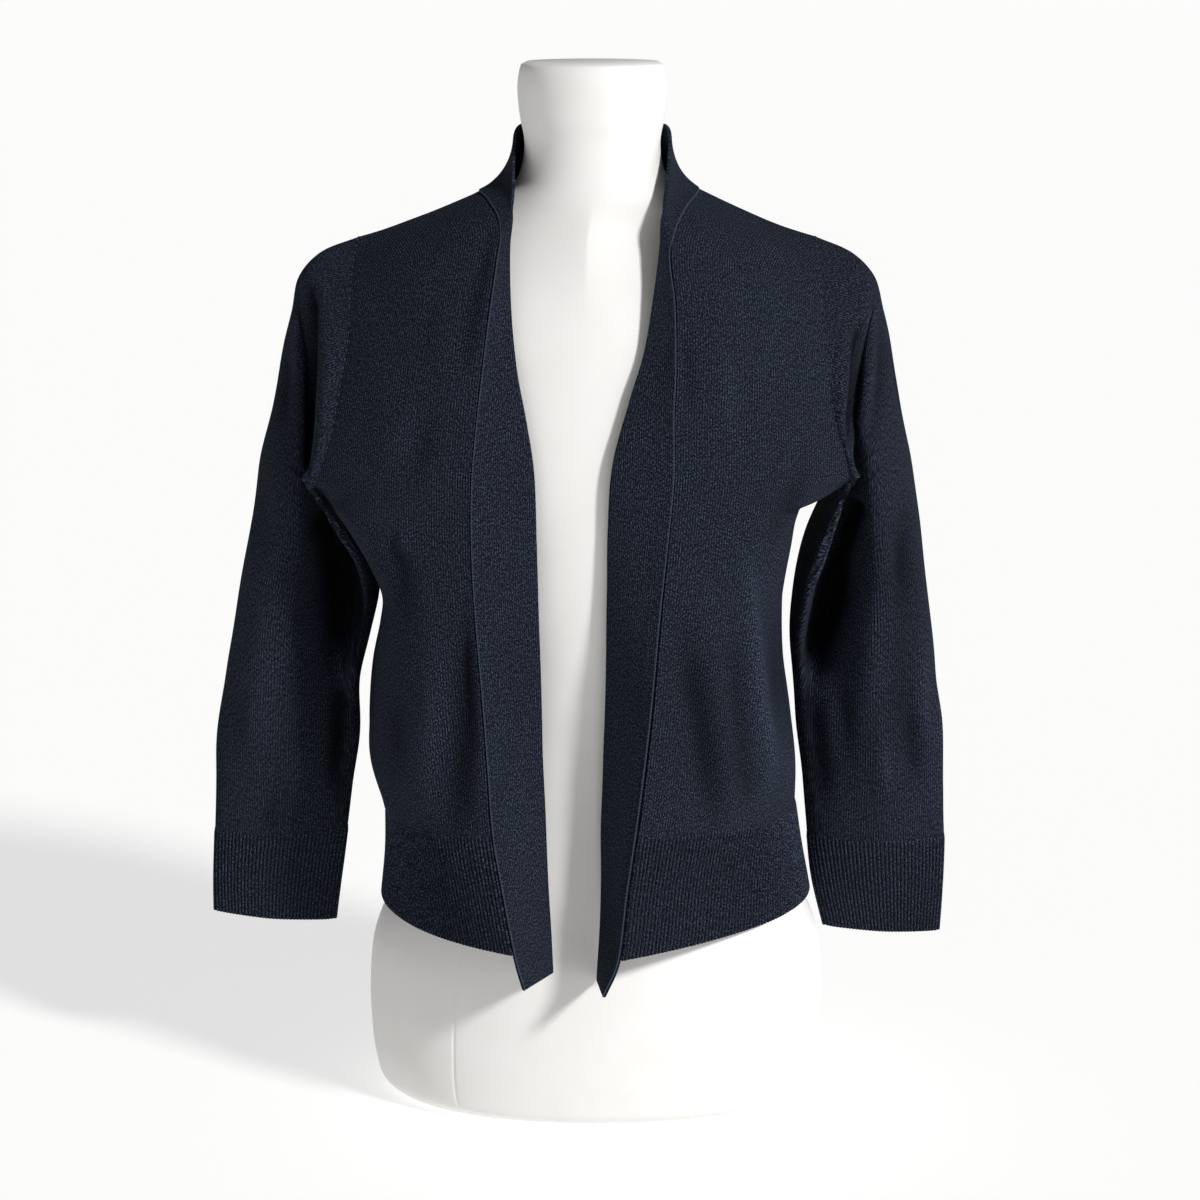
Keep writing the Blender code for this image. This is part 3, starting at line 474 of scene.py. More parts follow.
sleeveCreases = [
    ("front", 3.0, 4, 0.15, 0.4, [(201, 621), (200, 590), (199, 569), (197, 548), (191, 515), (188, 493)]),
    ("front", -6.5, 5, 0.15, 0.4, [(190, 604), (188, 575), (186, 548), (184, 522), (184, 500)]),
    ("front", -2.5, 5, 0.3, 0.4, [(207, 600), (207, 570), (204, 540), (199, 505)]),
    ("front", 2.6, 4, 0.1, 0.3, [(185, 478), (180, 465), (173, 447), (168, 438), (161, 414), (152, 390)]),
    ("front", -8, 6, 0.15, 0.3, [(193, 472), (189, 456), (183, 430), (178, 405), (171, 370), (164, 345)]),
    ("front", -7, 10, 0.4, 0.3, [(186, 430), (181, 405), (174, 375), (166, 345), (159, 315)]),
    ("front", 2.2, 3.5, 0.4, 0.4, [(166, 354), (161, 334), (157, 314)]),
    ("front", 2.4, 9, 0.4, 0.4, [(200, 430), (202, 380), (204, 330), (205, 285)]),
    ("front", -3.2, 7, 0.4, 0.4, [(236, 310), (240, 278), (241, 240)]),
    ("front", 2.6, 6, 0.5, 0.5, [(244, 372), (245, 320), (248, 262)]),
    ("front", -3.0, 8, 0.5, 0.5, [(222, 490), (227, 430), (231, 370)]),
    ("front", -2.4, 7, 0.4, 0.5, [(184, 340), (187, 295), (190, 250)]),
    ("front", -4.0, 9, 0.3, 0.4, [(160, 325), (165, 285), (170, 250), (174, 215)]),
    ("front", -2.4, 14, 0.3, 0.3, [(222, 480), (227, 400), (230, 320), (234, 235)]),
    ("front", 2.0, 6, 0.5, 0.5, [(212, 300), (216, 262), (220, 225)]),
    ("front", 2.6, 4, 0.3, 0.4, [(-218, 606), (-217, 590), (-216, 566), (-217, 545)]),
    ("front", -7.0, 4, 0.15, 0.3, [(-207, 632), (-205, 594), (-206, 550), (-208, 508), (-209, 482)]),
    ("front", -2.6, 5, 0.3, 0.5, [(-225, 580), (-226, 545), (-228, 505)]),
    ("front", 2.0, 3.5, 0.2, 0.3, [(-200, 470), (-188, 452), (-176, 434), (-164, 418), (-158, 404)]),
    ("front", -7, 9, 0.2, 0.3,
     [(-208, 466), (-200, 446), (-196, 420), (-195, 390), (-194, 350), (-192, 320)]),
    ("front", -6, 9, 0.3, 0.4, [(-192, 440), (-186, 415), (-181, 390), (-180, 360), (-184, 330)]),
    ("front", 2.6, 4, 0.4, 0.3, [(-197, 364), (-193, 343), (-188, 320), (-181, 298)]),
    ("front", -6, 7, 0.3, 0.4, [(-189, 340), (-193, 300), (-196, 262), (-196, 222)]),
    ("front", 1.6, 15, 0.3, 0.3, [(-236, 480), (-246, 400), (-254, 320), (-260, 245)]),
    ("front", -1.2, 8, 0.5, 0.5, [(-240, 500), (-246, 450), (-252, 400)]),
    ("front", -1.0, 7, 0.4, 0.5, [(-266, 340), (-270, 292), (-272, 250)]),
    ("front", 2.2, 7, 0.5, 0.5, [(-222, 300), (-226, 262), (-230, 226)]),
    ("front", -2.4, 6, 0.5, 0.5, [(-244, 250), (-247, 222), (-250, 200)]),
    ("back", -3.6, 9, 0.3, 0.5, [(206, 560), (212, 520), (214, 480), (210, 440)]),
    ("back", 2.8, 8, 0.4, 0.5, [(188, 520), (192, 480), (192, 440)]),
    ("back", -3.4, 8, 0.3, 0.4, [(176, 440), (190, 424), (208, 414), (226, 410)]),
    ("back", -2.8, 7, 0.4, 0.4, [(172, 404), (190, 392), (212, 386), (232, 384)]),
    ("back", -2.6, 8, 0.5, 0.5, [(226, 350), (232, 300), (236, 255)]),
    ("back", 2.2, 8, 0.5, 0.5, [(196, 330), (202, 285), (208, 240)]),
    ("back", -3.6, 9, 0.3, 0.5, [(-222, 560), (-228, 515), (-230, 475), (-226, 436)]),
    ("back", 2.8, 8, 0.4, 0.5, [(-204, 520), (-208, 478), (-208, 438)]),
    ("back", -3.4, 8, 0.3, 0.4, [(-186, 436), (-204, 418), (-222, 408), (-244, 404)]),
    ("back", -2.6, 7, 0.4, 0.4, [(-184, 396), (-206, 384), (-228, 378), (-250, 378)]),
    ("back", -2.6, 8, 0.5, 0.5, [(-246, 350), (-252, 300), (-256, 255)]),
    ("back", 2.2, 8, 0.5, 0.5, [(-214, 330), (-220, 285), (-226, 240)]),
    ("left", -2.8, 7, 0.4, 0.5, [(-6, 590), (-2, 540), (-4, 490)]),
    ("left", 2.2, 7, 0.5, 0.5, [(6, 330), (4, 290), (2, 240)]),
    ("right", -2.8, 7, 0.4, 0.5, [(-4, 590), (0, 536), (-2, 486)]),
    ("right", 2.2, 7, 0.5, 0.5, [(8, 334), (6, 290), (4, 244)]),
]
# Broad, shallow creases on the bands: a slight real rise and fall, and through their lift a painted light or
# shade on the band.
bandCreases = [
    ("front", 1.5, 19, 0.2, 0.2, [(38, 570), (33, 480), (29, 400), (25, 320), (21, 240), (14, 165)]),
    ("front", -0.9, 16, 0.5, 0.5, [(24, 400), (22, 340), (20, 290)]),
    ("front", 0.8, 14, 0.5, 0.5, [(28, 300), (24, 240), (18, 190)]),
    ("front", -0.8, 12, 0.5, 0.5, [(46, 610), (44, 575), (38, 545)]),
    ("front", -0.9, 15, 0.5, 0.5, [(-62, 420), (-60, 360), (-58, 300)]),
    ("front", 0.8, 14, 0.5, 0.5, [(-58, 290), (-54, 235), (-48, 185)]),
    ("front", -0.8, 11, 0.5, 0.5, [(-68, 610), (-70, 575), (-70, 540)]),
]


unevenness = [  # of worn knitwear: depth, and for two sines how far x, y and z run in a radian, and its start
    (0.22, (17, np.inf, 43, 0), (np.inf, -25, 21, 1)),
    (0.132, (9, np.inf, -31, 2), (27, np.inf, 12, 0)),  # infinite where it doesn't change
]
creaseReach = 3  # widths from its path, beyond which a crease is left out
creaseTurn = 0.35  # of the normal, towards a crease's side, from which it has its full depth


def creaseLift(points, normals, creases):
    # The sum of the creases at each point, plus the knit's slight unevenness: products of slow sines.
    lift = np.zeros(points.shape[:2])
    for depth, *waves in unevenness:
        first, second = (np.sin((points / wave[:3]).sum(axis=-1) + wave[3]) for wave in waves)
        lift += depth * first * second
    for side, depth, width, fadeTop, fadeFoot, path in creases:
        axis, facing, sign = sides[side]
        line = smoothCurve(np.linspace(0, len(path) - 1, samples["crease"]), np.arange(len(path)), path)
        low = line.min(axis=0) - creaseReach * width
        high = line.max(axis=0) + creaseReach * width
        u, v = points[..., axis], points[..., 2]
        near = (u > low[0]) & (u < high[0]) & (v > low[1]) & (v < high[1])
        near &= normals[..., facing] * sign > 0
        if not near.any():
            continue
        spot = np.stack([u[near], v[near]], axis=-1)[:, None]
        a, b = line[None, :-1], line[None, 1:]
        t = np.clip(((spot - a) * (b - a)).sum(-1) / ((b - a) ** 2).sum(-1), 0, 1)
        away = np.linalg.norm(spot - a - t[..., None] * (b - a), axis=-1)
        best = away.argmin(axis=1)
        take = np.arange(len(best))
        along = (best + t[take, best]) / (len(line) - 1)
        fade = smoothStep(along / fadeTop) * smoothStep((1 - along) / fadeFoot)
        turned = smoothStep(normals[near][:, facing] * sign / creaseTurn)
        lift[near] += depth * np.exp(-(away[take, best] / width) ** 2) * fade * turned
    return lift


allPieces = {}


def gridQuads(grid):
    # The four corner numbers of each cell of a grid.
    cells = [grid[:-1, :-1], grid[:-1, 1:], grid[1:, 1:], grid[1:, :-1]]
    return np.stack(cells, axis=-1).reshape(-1, 4)


def ringClosed(grid, last=None):
    # The grid with one more column, the given one or its first again.
    return np.concatenate([grid, grid[:, :1] if last is None else last], axis=1)


def cappedFaces(rows, columns):
    # Faces of a ring of points repeated in rows, and of the fans round the two end points that follow them.
    index = ringClosed(np.arange(rows * columns).reshape(rows, columns))
    fans = [np.stack([line[:-1], line[1:], 0 * line[1:] + rows * columns + i], axis=-1)
            for i, line in enumerate((index[0, ::-1], index[-1]))]
    return [gridQuads(index), np.concatenate(fans)]


def shellFaces(outer, inner, tube):
    # Quads on both faces and three triangles for each two steps of the rim. outer and inner are grids of
    # corner numbers, the inner with every second line.
    quads = [gridQuads(outer), gridQuads(inner)[:, ::-1]]
    rims = [(outer[0], inner[0]), (outer[-1, ::-1], inner[-1, ::-1])]
    if not tube:
        rims += [(outer[:, -1], inner[:, -1]), (outer[::-1, 0], inner[::-1, 0])]
    triangles = []
    for line, under in rims:
        p0, p1, p2, q0, q1 = line[:-1:2], line[1::2], line[2::2], under[:-1], under[1:]
        triangles += [np.stack(t, axis=-1) for t in ((p1, p0, q0), (p1, q0, q1), (p2, p1, q1))]
    return np.concatenate(quads), np.concatenate(triangles)


def roundOff(distances, radii):
    # How far each edge's quarter circle of the given radius drops below the flat face.
    drop = np.zeros_like(distances[0])
    for distance, radius in zip(distances, radii):
        if radius:
            short = radius - np.minimum(distance, radius)
            drop = drop + radius - np.sqrt(np.maximum(radius ** 2 - short ** 2, 0))
    return np.minimum(drop, max(radii))


def ribLift(ribs, turns, down):
    # A cosine across the ribs, broadened at its top, which rises from the plain knit above.
    wave = 0.5 + 0.5 * np.cos(2 * np.pi * ribs * turns)
    rise = smoothStep(down / knit["ribFade"])
    return knit["ribDepth"] * (wave ** knit["ribPower"] - knit["ribMiddle"]) * rise


def makeMesh(name, points, faces, material, flip=False, corners=None, layers=None):
    # faces number the points, and corners, where there are layers, the layers' values in the same order.
    turn = -1 if flip else 1
    mesh = bpy.data.meshes.new(name)
    polygons = [face for part in faces for face in part[:, ::turn].tolist()]
    mesh.from_pydata((points * mm).tolist(), [], polygons)
    for title, uv in (layers or {}).items():
        order = np.concatenate([part[:, ::turn].ravel() for part in corners])
        layer = mesh.uv_layers.new(name=title)
        layer.data.foreach_set("uv", (uv.reshape(-1, 2)[order] * mm).ravel())
    mesh.polygons.foreach_set("use_smooth", [True] * len(mesh.polygons))
    mesh.set_sharp_from_angle(angle=shadingAngle)
    mesh.materials.append(material)
    piece = bpy.data.objects.new(name, mesh)
    bpy.context.scene.collection.objects.link(piece)
    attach(piece, "root")
    return piece


def makeCloth(name, grid, material, wall, creases, tube=False, flip=False, rounds=(0, 0, 0, 0),
              ribs=0, middle=0, seamFade=(0, 0)):
    # The wall's inner face is the grid moved by the creases, and its outer face, a wall above it, also has
    # the ribs. rounds are the radii at the first and last row and the first and last column. middle is the
    # column that the wales run along, and seamFade keeps creases this far from the first and last column.
    normals = normalsOf(grid, tube, flip)
    down, across = lengths(grid, 0), lengths(grid, 1)
    whole = across[:, -1:]
    if tube:
        whole = whole + np.linalg.norm(grid[:, 0] - grid[:, -1], axis=1)[:, None]
    smooth = creaseLift(grid, normals, creases)
    for fade, distance in zip(seamFade, (across, whole - across)):
        if fade:
            smooth = smooth * smoothStep(distance / fade)
    lift = smooth + ribLift(ribs, across / whole, down) if ribs else smooth
    distances = (down, down[-1:] - down, across, whole - across)
    drop = roundOff(distances, rounds)
    free = roundOff(distances, [radius if radius >= knit["freeRound"] else 0 for radius in rounds])
    outer = grid + (wall + lift - drop)[..., None] * normals
    inner = (grid + (smooth + free)[..., None] * normals)[::2, ::2]
    rows, columns = grid.shape[:2]
    index = np.arange(rows * columns).reshape(rows, columns)
    under = rows * columns + np.arange(inner.shape[0] * inner.shape[1]).reshape(inner.shape[:2])
    corner = np.arange(rows * (columns + tube)).reshape(rows, -1)
    if tube:
        index = ringClosed(index)
        under = ringClosed(under)
        across = ringClosed(across, whole)
        down = ringClosed(down)
        smooth = ringClosed(smooth)
    faces = shellFaces(index, under, tube)
    corners = shellFaces(corner, corner[::2, ::2], tube)
    wales = (ribs * (across / whole) + 0.5) * knit["ribPitch"] if ribs else across - across[:, [middle]]
    # The fold layer holds the creases' lift, from which the material paints shade into hollows and light onto
    # ridges.
    layers = {"knit": np.stack([wales, -down], axis=-1), "fold": np.stack([smooth, -down], axis=-1)}
    points = np.concatenate([outer.reshape(-1, 3), inner.reshape(-1, 3)])
    piece = makeMesh(name, points, faces, material, flip, corners, layers)
    node = name.rsplit("_", 1)[0]
    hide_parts(node)
    allPieces[node] = {"grid": grid, "normals": normals, "outer": outer}
    print(name, len(faces[0]) * 2 + len(faces[1]), "triangles, across",
          whole[[0, len(whole) // 2, -1], 0].round(), "down", down[-1, [0, middle, -1]].round())
    return piece


def linear(hexColour):
    # sRGB hex to linear light.
    parts = np.array([int(hexColour[i:i + 2], 16) / 255 for i in (1, 3, 5)])
    light = np.where(parts <= 0.04045, parts / 12.92, ((parts + 0.055) / 1.055) ** 2.4)
    return (*light.tolist(), 1.0)


def addNode(tree, kind, settings=None, **inputs):
    # A node with its settings, and its inputs set to values or linked to other nodes' outputs.
    node = tree.nodes.new(kind)
    for name, value in (settings or {}).items():
        setattr(node, name, value)
    for name, value in inputs.items():
        socket = node.inputs[int(name[1:])] if name[1:].isdigit() else node.inputs[name.replace("_", " ")]
        if isinstance(value, bpy.types.NodeSocket):
            tree.links.new(value, socket)
        else:
            socket.default_value = value
    return node


def newMaterial(name):
    material = bpy.data.materials.new(name)
    material.use_nodes = True
    material.node_tree.nodes.clear()
    return material, material.node_tree


def finishMaterial(tree, shader):
    addNode(tree, "ShaderNodeOutputMaterial", Surface=shader.outputs[0])


yarn = {
    "shade": "#11141c",  # of the darker and the lighter yarn, of single light fibres, and the painted shade between stitches
    "light": "#151823",
    "fibre": "#434b5c",
    "groove": "#030408",
    "roughness": 0.95,
    "sheen": 0.03,
    "sheenRoughness": 0.45,
    "sheenTint": "#8b9bb4",
    "ior": 1.5,  # wool and cotton fibres
    "specular": 0.06,
    # Painted shade in the hollows of the folds and painted light on their ridges: the lift at which each is
    # strongest, and the factors on the yarn colour.
    "deepFold": 7,  # depth of a hollow whose painted shade is at its darkest
    "highFold": 3.5,
    "paintedHollowShade": 0.1,
    "paintedRidgeLight": 1.45,
    "lean": 1.2,  # of the stitches, in courses to a wale
    "stitch": 0.18,  # height of a course beside a wale's
    "fuzz": 0.5,
    "bump": 0.8,
    "fleck": 0.9,  # millimetres
    "fleckFrom": 0.45,
    "fleckTo": 0.68,
    "fleckStretch": (1.0, 0.6, 1.0),  # which makes a fleck 1.5 mm long
    "mottle": 4,
    "mottleFrom": 0.3,
    "mottleTo": 0.7,
}


def knitMaterial(name, walePitch, coursePitch, depth, heather, stitchShading):
    # Fine wool knit. Each wale is a column of slanted stitches: a cosine across the wale, and a
    # second one down it whose phase follows the distance from the wale's edge, which leans the stitches
    # into a V. The yarn is spun from darker and lighter navy fibres, which gives a faint heather.
    material, tree = newMaterial(name)
    place = addNode(tree, "ShaderNodeUVMap", {"uv_map": "knit"})
    split = addNode(tree, "ShaderNodeSeparateXYZ", _0=place.outputs[0])

    def maths(operation, a, b=0.0):
        return addNode(tree, "ShaderNodeMath", {"operation": operation}, _0=a, _1=b).outputs[0]

    wale = maths("DIVIDE", split.outputs[0], walePitch * mm)
    course = maths("DIVIDE", split.outputs[1], coursePitch * mm)
    across = maths("PINGPONG", wale, 0.5)  # 0 at the wale's edge, 0.5 in its middle
    ridge = maths("SINE", maths("MULTIPLY", across, np.pi))
    lean = maths("MULTIPLY", across, yarn["lean"])
    stitch = maths("COSINE", maths("MULTIPLY", maths("ADD", course, lean), 2 * np.pi))
    stitch = maths("MULTIPLY_ADD", stitch, yarn["stitch"])
    height = maths("ADD", ridge, stitch)
    stretch = addNode(tree, "ShaderNodeMapping", {"vector_type": "POINT"}, Vector=place.outputs[0],
                      Scale=yarn["fleckStretch"])
    # Flecks of lighter fibre, and soft mottling from uneven yarn.
    fibres = addNode(tree, "ShaderNodeTexNoise", {"noise_dimensions": "2D"}, Vector=stretch.outputs[0],
                     Scale=1 / (yarn["fleck"] * mm), Detail=2.0, Roughness=0.6)
    mottle = addNode(tree, "ShaderNodeTexNoise", {"noise_dimensions": "2D"}, Vector=place.outputs[0],
                     Scale=1 / (yarn["mottle"] * mm), Detail=2.0)
    fleck = addNode(tree, "ShaderNodeMapRange", {"interpolation_type": "SMOOTHSTEP"}, Value=fibres.outputs[0],
                    _1=yarn["fleckFrom"], _2=yarn["fleckTo"], _3=0.0, _4=heather)
    tone = addNode(tree, "ShaderNodeMapRange", {}, Value=mottle.outputs[0], _1=yarn["mottleFrom"],
                   _2=yarn["mottleTo"], _3=0.0, _4=1.0)
    base = addNode(tree, "ShaderNodeMix", {"data_type": "RGBA"}, _0=tone.outputs[0],
                   _6=linear(yarn["shade"]), _7=linear(yarn["light"]))
    flecked = addNode(tree, "ShaderNodeMix", {"data_type": "RGBA"}, _0=fleck.outputs[0],
                      _6=base.outputs[2], _7=linear(yarn["fibre"]))
    # Painted shade between the stitches: towards a wale's edges the colour turns to the near-black groove
    # colour.
    stitchShade = addNode(tree, "ShaderNodeMapRange", {}, Value=ridge, _1=0.0, _2=0.8, _3=stitchShading, _4=0.0)
    colour = addNode(tree, "ShaderNodeMix", {"data_type": "RGBA"}, _0=stitchShade.outputs[0],
                     _6=flecked.outputs[2], _7=linear(yarn["groove"]))
    # Painted shade darkens the hollows of the folds and painted light brightens their ridges, read from the
    # lift in the second layer.
    fold = addNode(tree, "ShaderNodeUVMap", {"uv_map": "fold"})
    lift = addNode(tree, "ShaderNodeSeparateXYZ", _0=fold.outputs[0])
    shade = addNode(tree, "ShaderNodeMapRange", {}, Value=lift.outputs[0], _1=-yarn["deepFold"] * mm,
                    _2=yarn["highFold"] * mm, _3=yarn["paintedHollowShade"], _4=yarn["paintedRidgeLight"])
    paintedFoldShade = addNode(tree, "ShaderNodeHueSaturation", {}, Value=shade.outputs[0], Color=colour.outputs[2])
    fuzz = maths("MULTIPLY_ADD", fibres.outputs[0], yarn["fuzz"])
    bump = addNode(tree, "ShaderNodeBump", {}, Strength=yarn["bump"], Distance=depth * mm,
                   Height=maths("ADD", height, fuzz))
    shader = addNode(tree, "ShaderNodeBsdfPrincipled", {}, Base_Color=paintedFoldShade.outputs[0],
                     Roughness=yarn["roughness"], IOR=yarn["ior"], Specular_IOR_Level=yarn["specular"],
                     Sheen_Weight=yarn["sheen"], Sheen_Roughness=yarn["sheenRoughness"],
                     Sheen_Tint=linear(yarn["sheenTint"]), Normal=bump.outputs[0])
    finishMaterial(tree, shader)
    return material


cover = {
    "shade": "#ebe9e6",
    "colour": "#efedeb",
    "weave": 0.9,  # thread spacing, drawn as coarse as it needs to show
    "weaveDepth": 0.15,
    "patches": 22.0,  # of slightly different shade, to the metre
    "bump": 0.35,
    "roughness": 0.75,
    "sheen": 0.12,
}


def coverMaterial():
    # Off-white cotton stretch cover, a fine plain weave that leaves the form matt.
    material, tree = newMaterial("cotton stretch cover")
    place = addNode(tree, "ShaderNodeTexCoord")
    threads = addNode(tree, "ShaderNodeTexNoise", {}, Vector=place.outputs["Object"],
                      Scale=1 / (cover["weave"] * mm), Detail=2.0)
    soft = addNode(tree, "ShaderNodeTexNoise", {}, Vector=place.outputs["Object"], Scale=cover["patches"],
                   Detail=2.0)
    tone = addNode(tree, "ShaderNodeMapRange", {}, Value=soft.outputs[0], _1=0.3, _2=0.7, _3=0.0, _4=1.0)
    colour = addNode(tree, "ShaderNodeMix", {"data_type": "RGBA"}, _0=tone.outputs[0],
                     _6=linear(cover["shade"]), _7=linear(cover["colour"]))
    bump = addNode(tree, "ShaderNodeBump", {}, Strength=cover["bump"], Distance=cover["weaveDepth"] * mm,
                   Height=threads.outputs[0])
    shader = addNode(tree, "ShaderNodeBsdfPrincipled", {}, Base_Color=colour.outputs[2],
                     Roughness=cover["roughness"], Sheen_Weight=cover["sheen"], Normal=bump.outputs[0])
    finishMaterial(tree, shader)
    return material


jersey = knitMaterial("fine wool jersey", walePitch=1.9, coursePitch=1.4, depth=0.5,
                      heather=0.9, stitchShading=0.8)
ribKnit = knitMaterial("wool rib", walePitch=knit["ribPitch"], coursePitch=1.6, depth=0.4,
                       heather=0.95, stitchShading=0.85)
bandKnit = knitMaterial("double wool jersey band", walePitch=1.6, coursePitch=1.3, depth=0.45,
                        heather=0.9, stitchShading=0.75)
coverCloth = coverMaterial()
print("materials made")


step = knit["step"]
seamRound, tightRound = knit["seamRound"], knit["tightRound"]
ribSeamRound, hemRound = knit["ribSeamRound"], knit["hemRound"]


def rowsDown(surface, half, guide, first, last, shares):
    # Rows from first to last, evenly spaced down the last of the guide's columns.
    return evenly(lambda at: surface(half, at, np.array(guide))[:, -1], first, last, shares)


frontSizes = {  # flat width and length at the widest and longest, and area; then the rib's
    "left": {"flat": (197, 512), "area": 74800, "rib": (205, 84), "ribs": 70},
    "right": {"flat": (174, 514), "area": 68800, "rib": (179, 86), "ribs": 62},
}
meanWidth = 0.65  # of a front, beside its widest
frontGuide = [0.5]
for side, half in (("left", left), ("right", right)):
    flip = side == "left"
    sizes = frontSizes[side]
    shares = spread(meanWidth * sizes["flat"][0], step)
    down = rowsDown(frontSurface, half, frontGuide, 0, 2, spread(sizes["flat"][1], step))
    piece = makeCloth(f"front_{side}_jersey", frontSurface(half, down, shares), jersey, knit["jerseyWall"],
                      bodyCreases, flip=flip, rounds=(seamRound, 0, seamRound, tightRound),
                      seamFade=(knit["seamFade"], 0))
    shares = np.linspace(0, 1, sizes["ribs"] * knit["ribColumns"] + 1)
    down = rowsDown(frontSurface, half, frontGuide, 2, 3, spread(sizes["rib"][1], knit["ribRows"]))
    piece = makeCloth(f"hem_rib_front_{side}_knit", frontSurface(half, down, shares), ribKnit,
                      knit["ribWall"], bodyCreases, flip=flip,
                      rounds=(0, hemRound, seamRound, ribSeamRound), ribs=sizes["ribs"],
                      seamFade=(knit["seamFade"], 0))

backSizes = {
    "flat": (479, 531),
    "area": 186300,
    "rib": (425, 82),
    "ribs": 72,  # in each half
    "columns": 92,  # in each half, before those near its edge
    "rows": 2.4,
    "ribColumns": 6,
    "ribRows": 3.2,
}
backGuide = [0.0, 0.4]
shares = np.linspace(0, 1, backSizes["columns"])
shares = np.concatenate([shares[:-1], 1 - edgeLines[2::-1] * 2 / backSizes["flat"][0]])
down = rowsDown(backHalf, left, backGuide, 0, 2, spread(backSizes["flat"][1], backSizes["rows"]))
piece = makeCloth("back_jersey", backSurface(down, shares), jersey, knit["jerseyWall"], bodyCreases,
                  rounds=(seamRound, 0, tightRound, tightRound), middle=len(shares) - 1)
shares = np.linspace(0, 1, backSizes["ribs"] * backSizes["ribColumns"] + 1)
down = rowsDown(backHalf, left, backGuide, 2, 3, spread(backSizes["rib"][1], backSizes["ribRows"]))
piece = makeCloth("hem_rib_back_knit", backSurface(down, shares), ribKnit, knit["ribWall"], bodyCreases,
                  rounds=(0, hemRound, ribSeamRound, ribSeamRound), ribs=2 * backSizes["ribs"],
                  middle=len(shares) - 1)
print("body made")

sleeveSizes = {"flat": (336, 484), "area": 111000, "rows": 2.1, "cuff": (209, 76), "cuffRibs": 74}
sleeves = {
    "left": (armholeLeft, headFoldLeft, sleeveLeftRings, cuffLeftRings),
    "right": (armholeRight, headFoldRight, sleeveRightRings, cuffRightRings),
}
for side, (armhole, fold, rings, cuffRings) in sleeves.items():
    flip = side == "left"
    around = np.linspace(0, 1, 2 * int(sleeveSizes["flat"][0] / step / 2) + 1)[:-1]
    found = [loopAt(around, armhole), loopAt(around, fold)]
    found += [sleeveRing(ring, around) for ring in rings.values()]
    grid = throughRings(found, spread(sleeveSizes["flat"][1], sleeveSizes["rows"]))
    piece = makeCloth(f"sleeve_{side}_jersey", grid, jersey, knit["jerseyWall"], sleeveCreases, tube=True,
                      flip=flip, rounds=(tightRound, 0, 0, 0), middle=len(around) // 2)
    ribs = sleeveSizes["cuffRibs"]
    around = np.linspace(0, 1, ribs * knit["ribColumns"] + 1)[:-1]
    found = [sleeveRing(ring, around) for ring in cuffRings.values()]
    grid = throughRings(found, spread(sleeveSizes["cuff"][1], knit["ribRows"]))
    piece = makeCloth(f"cuff_{side}_knit", grid, ribKnit, knit["ribWall"], sleeveCreases, tube=True,
                      flip=flip, rounds=(0, hemRound, 0, 0), ribs=ribs, middle=len(around) // 2)
print("sleeves made")

bandSizes = {
    "flat": (46, 740),
    "columns": 1.8,
    "rows": 2.2,
    "rounds": (0.2, 1.2, 0.7, 1.3),  # at the centre back, the lower end, the seam and the free edge
    "seamFade": 8,
}
for side, rows in (("left", bandLeft), ("right", bandRight)):
    flip = side == "right"
    shares = spread(bandSizes["flat"][0], bandSizes["columns"])
    along = spread(bandSizes["flat"][1], bandSizes["rows"])
    places = evenly(lambda at: bandSurface(rows, at, np.array([0.5]))[:, 0], 0, len(rows) - 1, along)
    piece = makeCloth(f"band_{side}_knit", bandSurface(rows, places, shares), bandKnit, knit["bandWall"],
                      bandCreases, flip=flip, rounds=bandSizes["rounds"],
                      seamFade=(bandSizes["seamFade"], 0))
print("bands made")


# The linking stitches' colour is the wool's with a painted highlight: lighter where the smooth stitches catch
# the light.
linking = {"pitch": 2.3, "length": 2.6, "wide": 1.3, "high": 1.3, "raise": 2.2, "colour": "#3b4454"}
armholeStitch = {"pitch": 6.5, "length": 2.4, "wide": 1.0, "high": 0.9, "raise": 0.3}
armholeFoot = 508  # height down to which they show beside the seam
armholeLines = {  # panel, and the column of its grid
    "front_left_armhole_stitches": ("front_left", -3),
    "front_right_armhole_stitches": ("front_right", -3),
    "back_armhole_stitches_right": ("back", 2),
    "back_armhole_stitches": ("back", -3),
}
beadRings = 3
beadSides = 6

seamYarnPaintedLight, tree = newMaterial("linking yarn")  # the same wool, coloured lighter as a painted highlight where its smooth stitches catch the light
finishMaterial(tree, addNode(tree, "ShaderNodeBsdfPrincipled", {}, Base_Color=linear(linking["colour"]),
                             Roughness=yarn["roughness"], Specular_IOR_Level=yarn["specular"]))


def alongLine(line, up, pitch):
    # Places, directions and upward directions a pitch apart along a line of points.
    far = np.concatenate([[0], np.cumsum(np.linalg.norm(np.diff(line, axis=0), axis=1))])
    wanted = np.arange(pitch / 2, far[-1], pitch)
    spots = np.stack([np.interp(wanted, far, line[:, i]) for i in range(3)], axis=-1)
    ups = unit(np.stack([np.interp(wanted, far, up[:, i]) for i in range(3)], axis=-1))
    return spots, unit(np.gradient(spots, axis=0)), ups


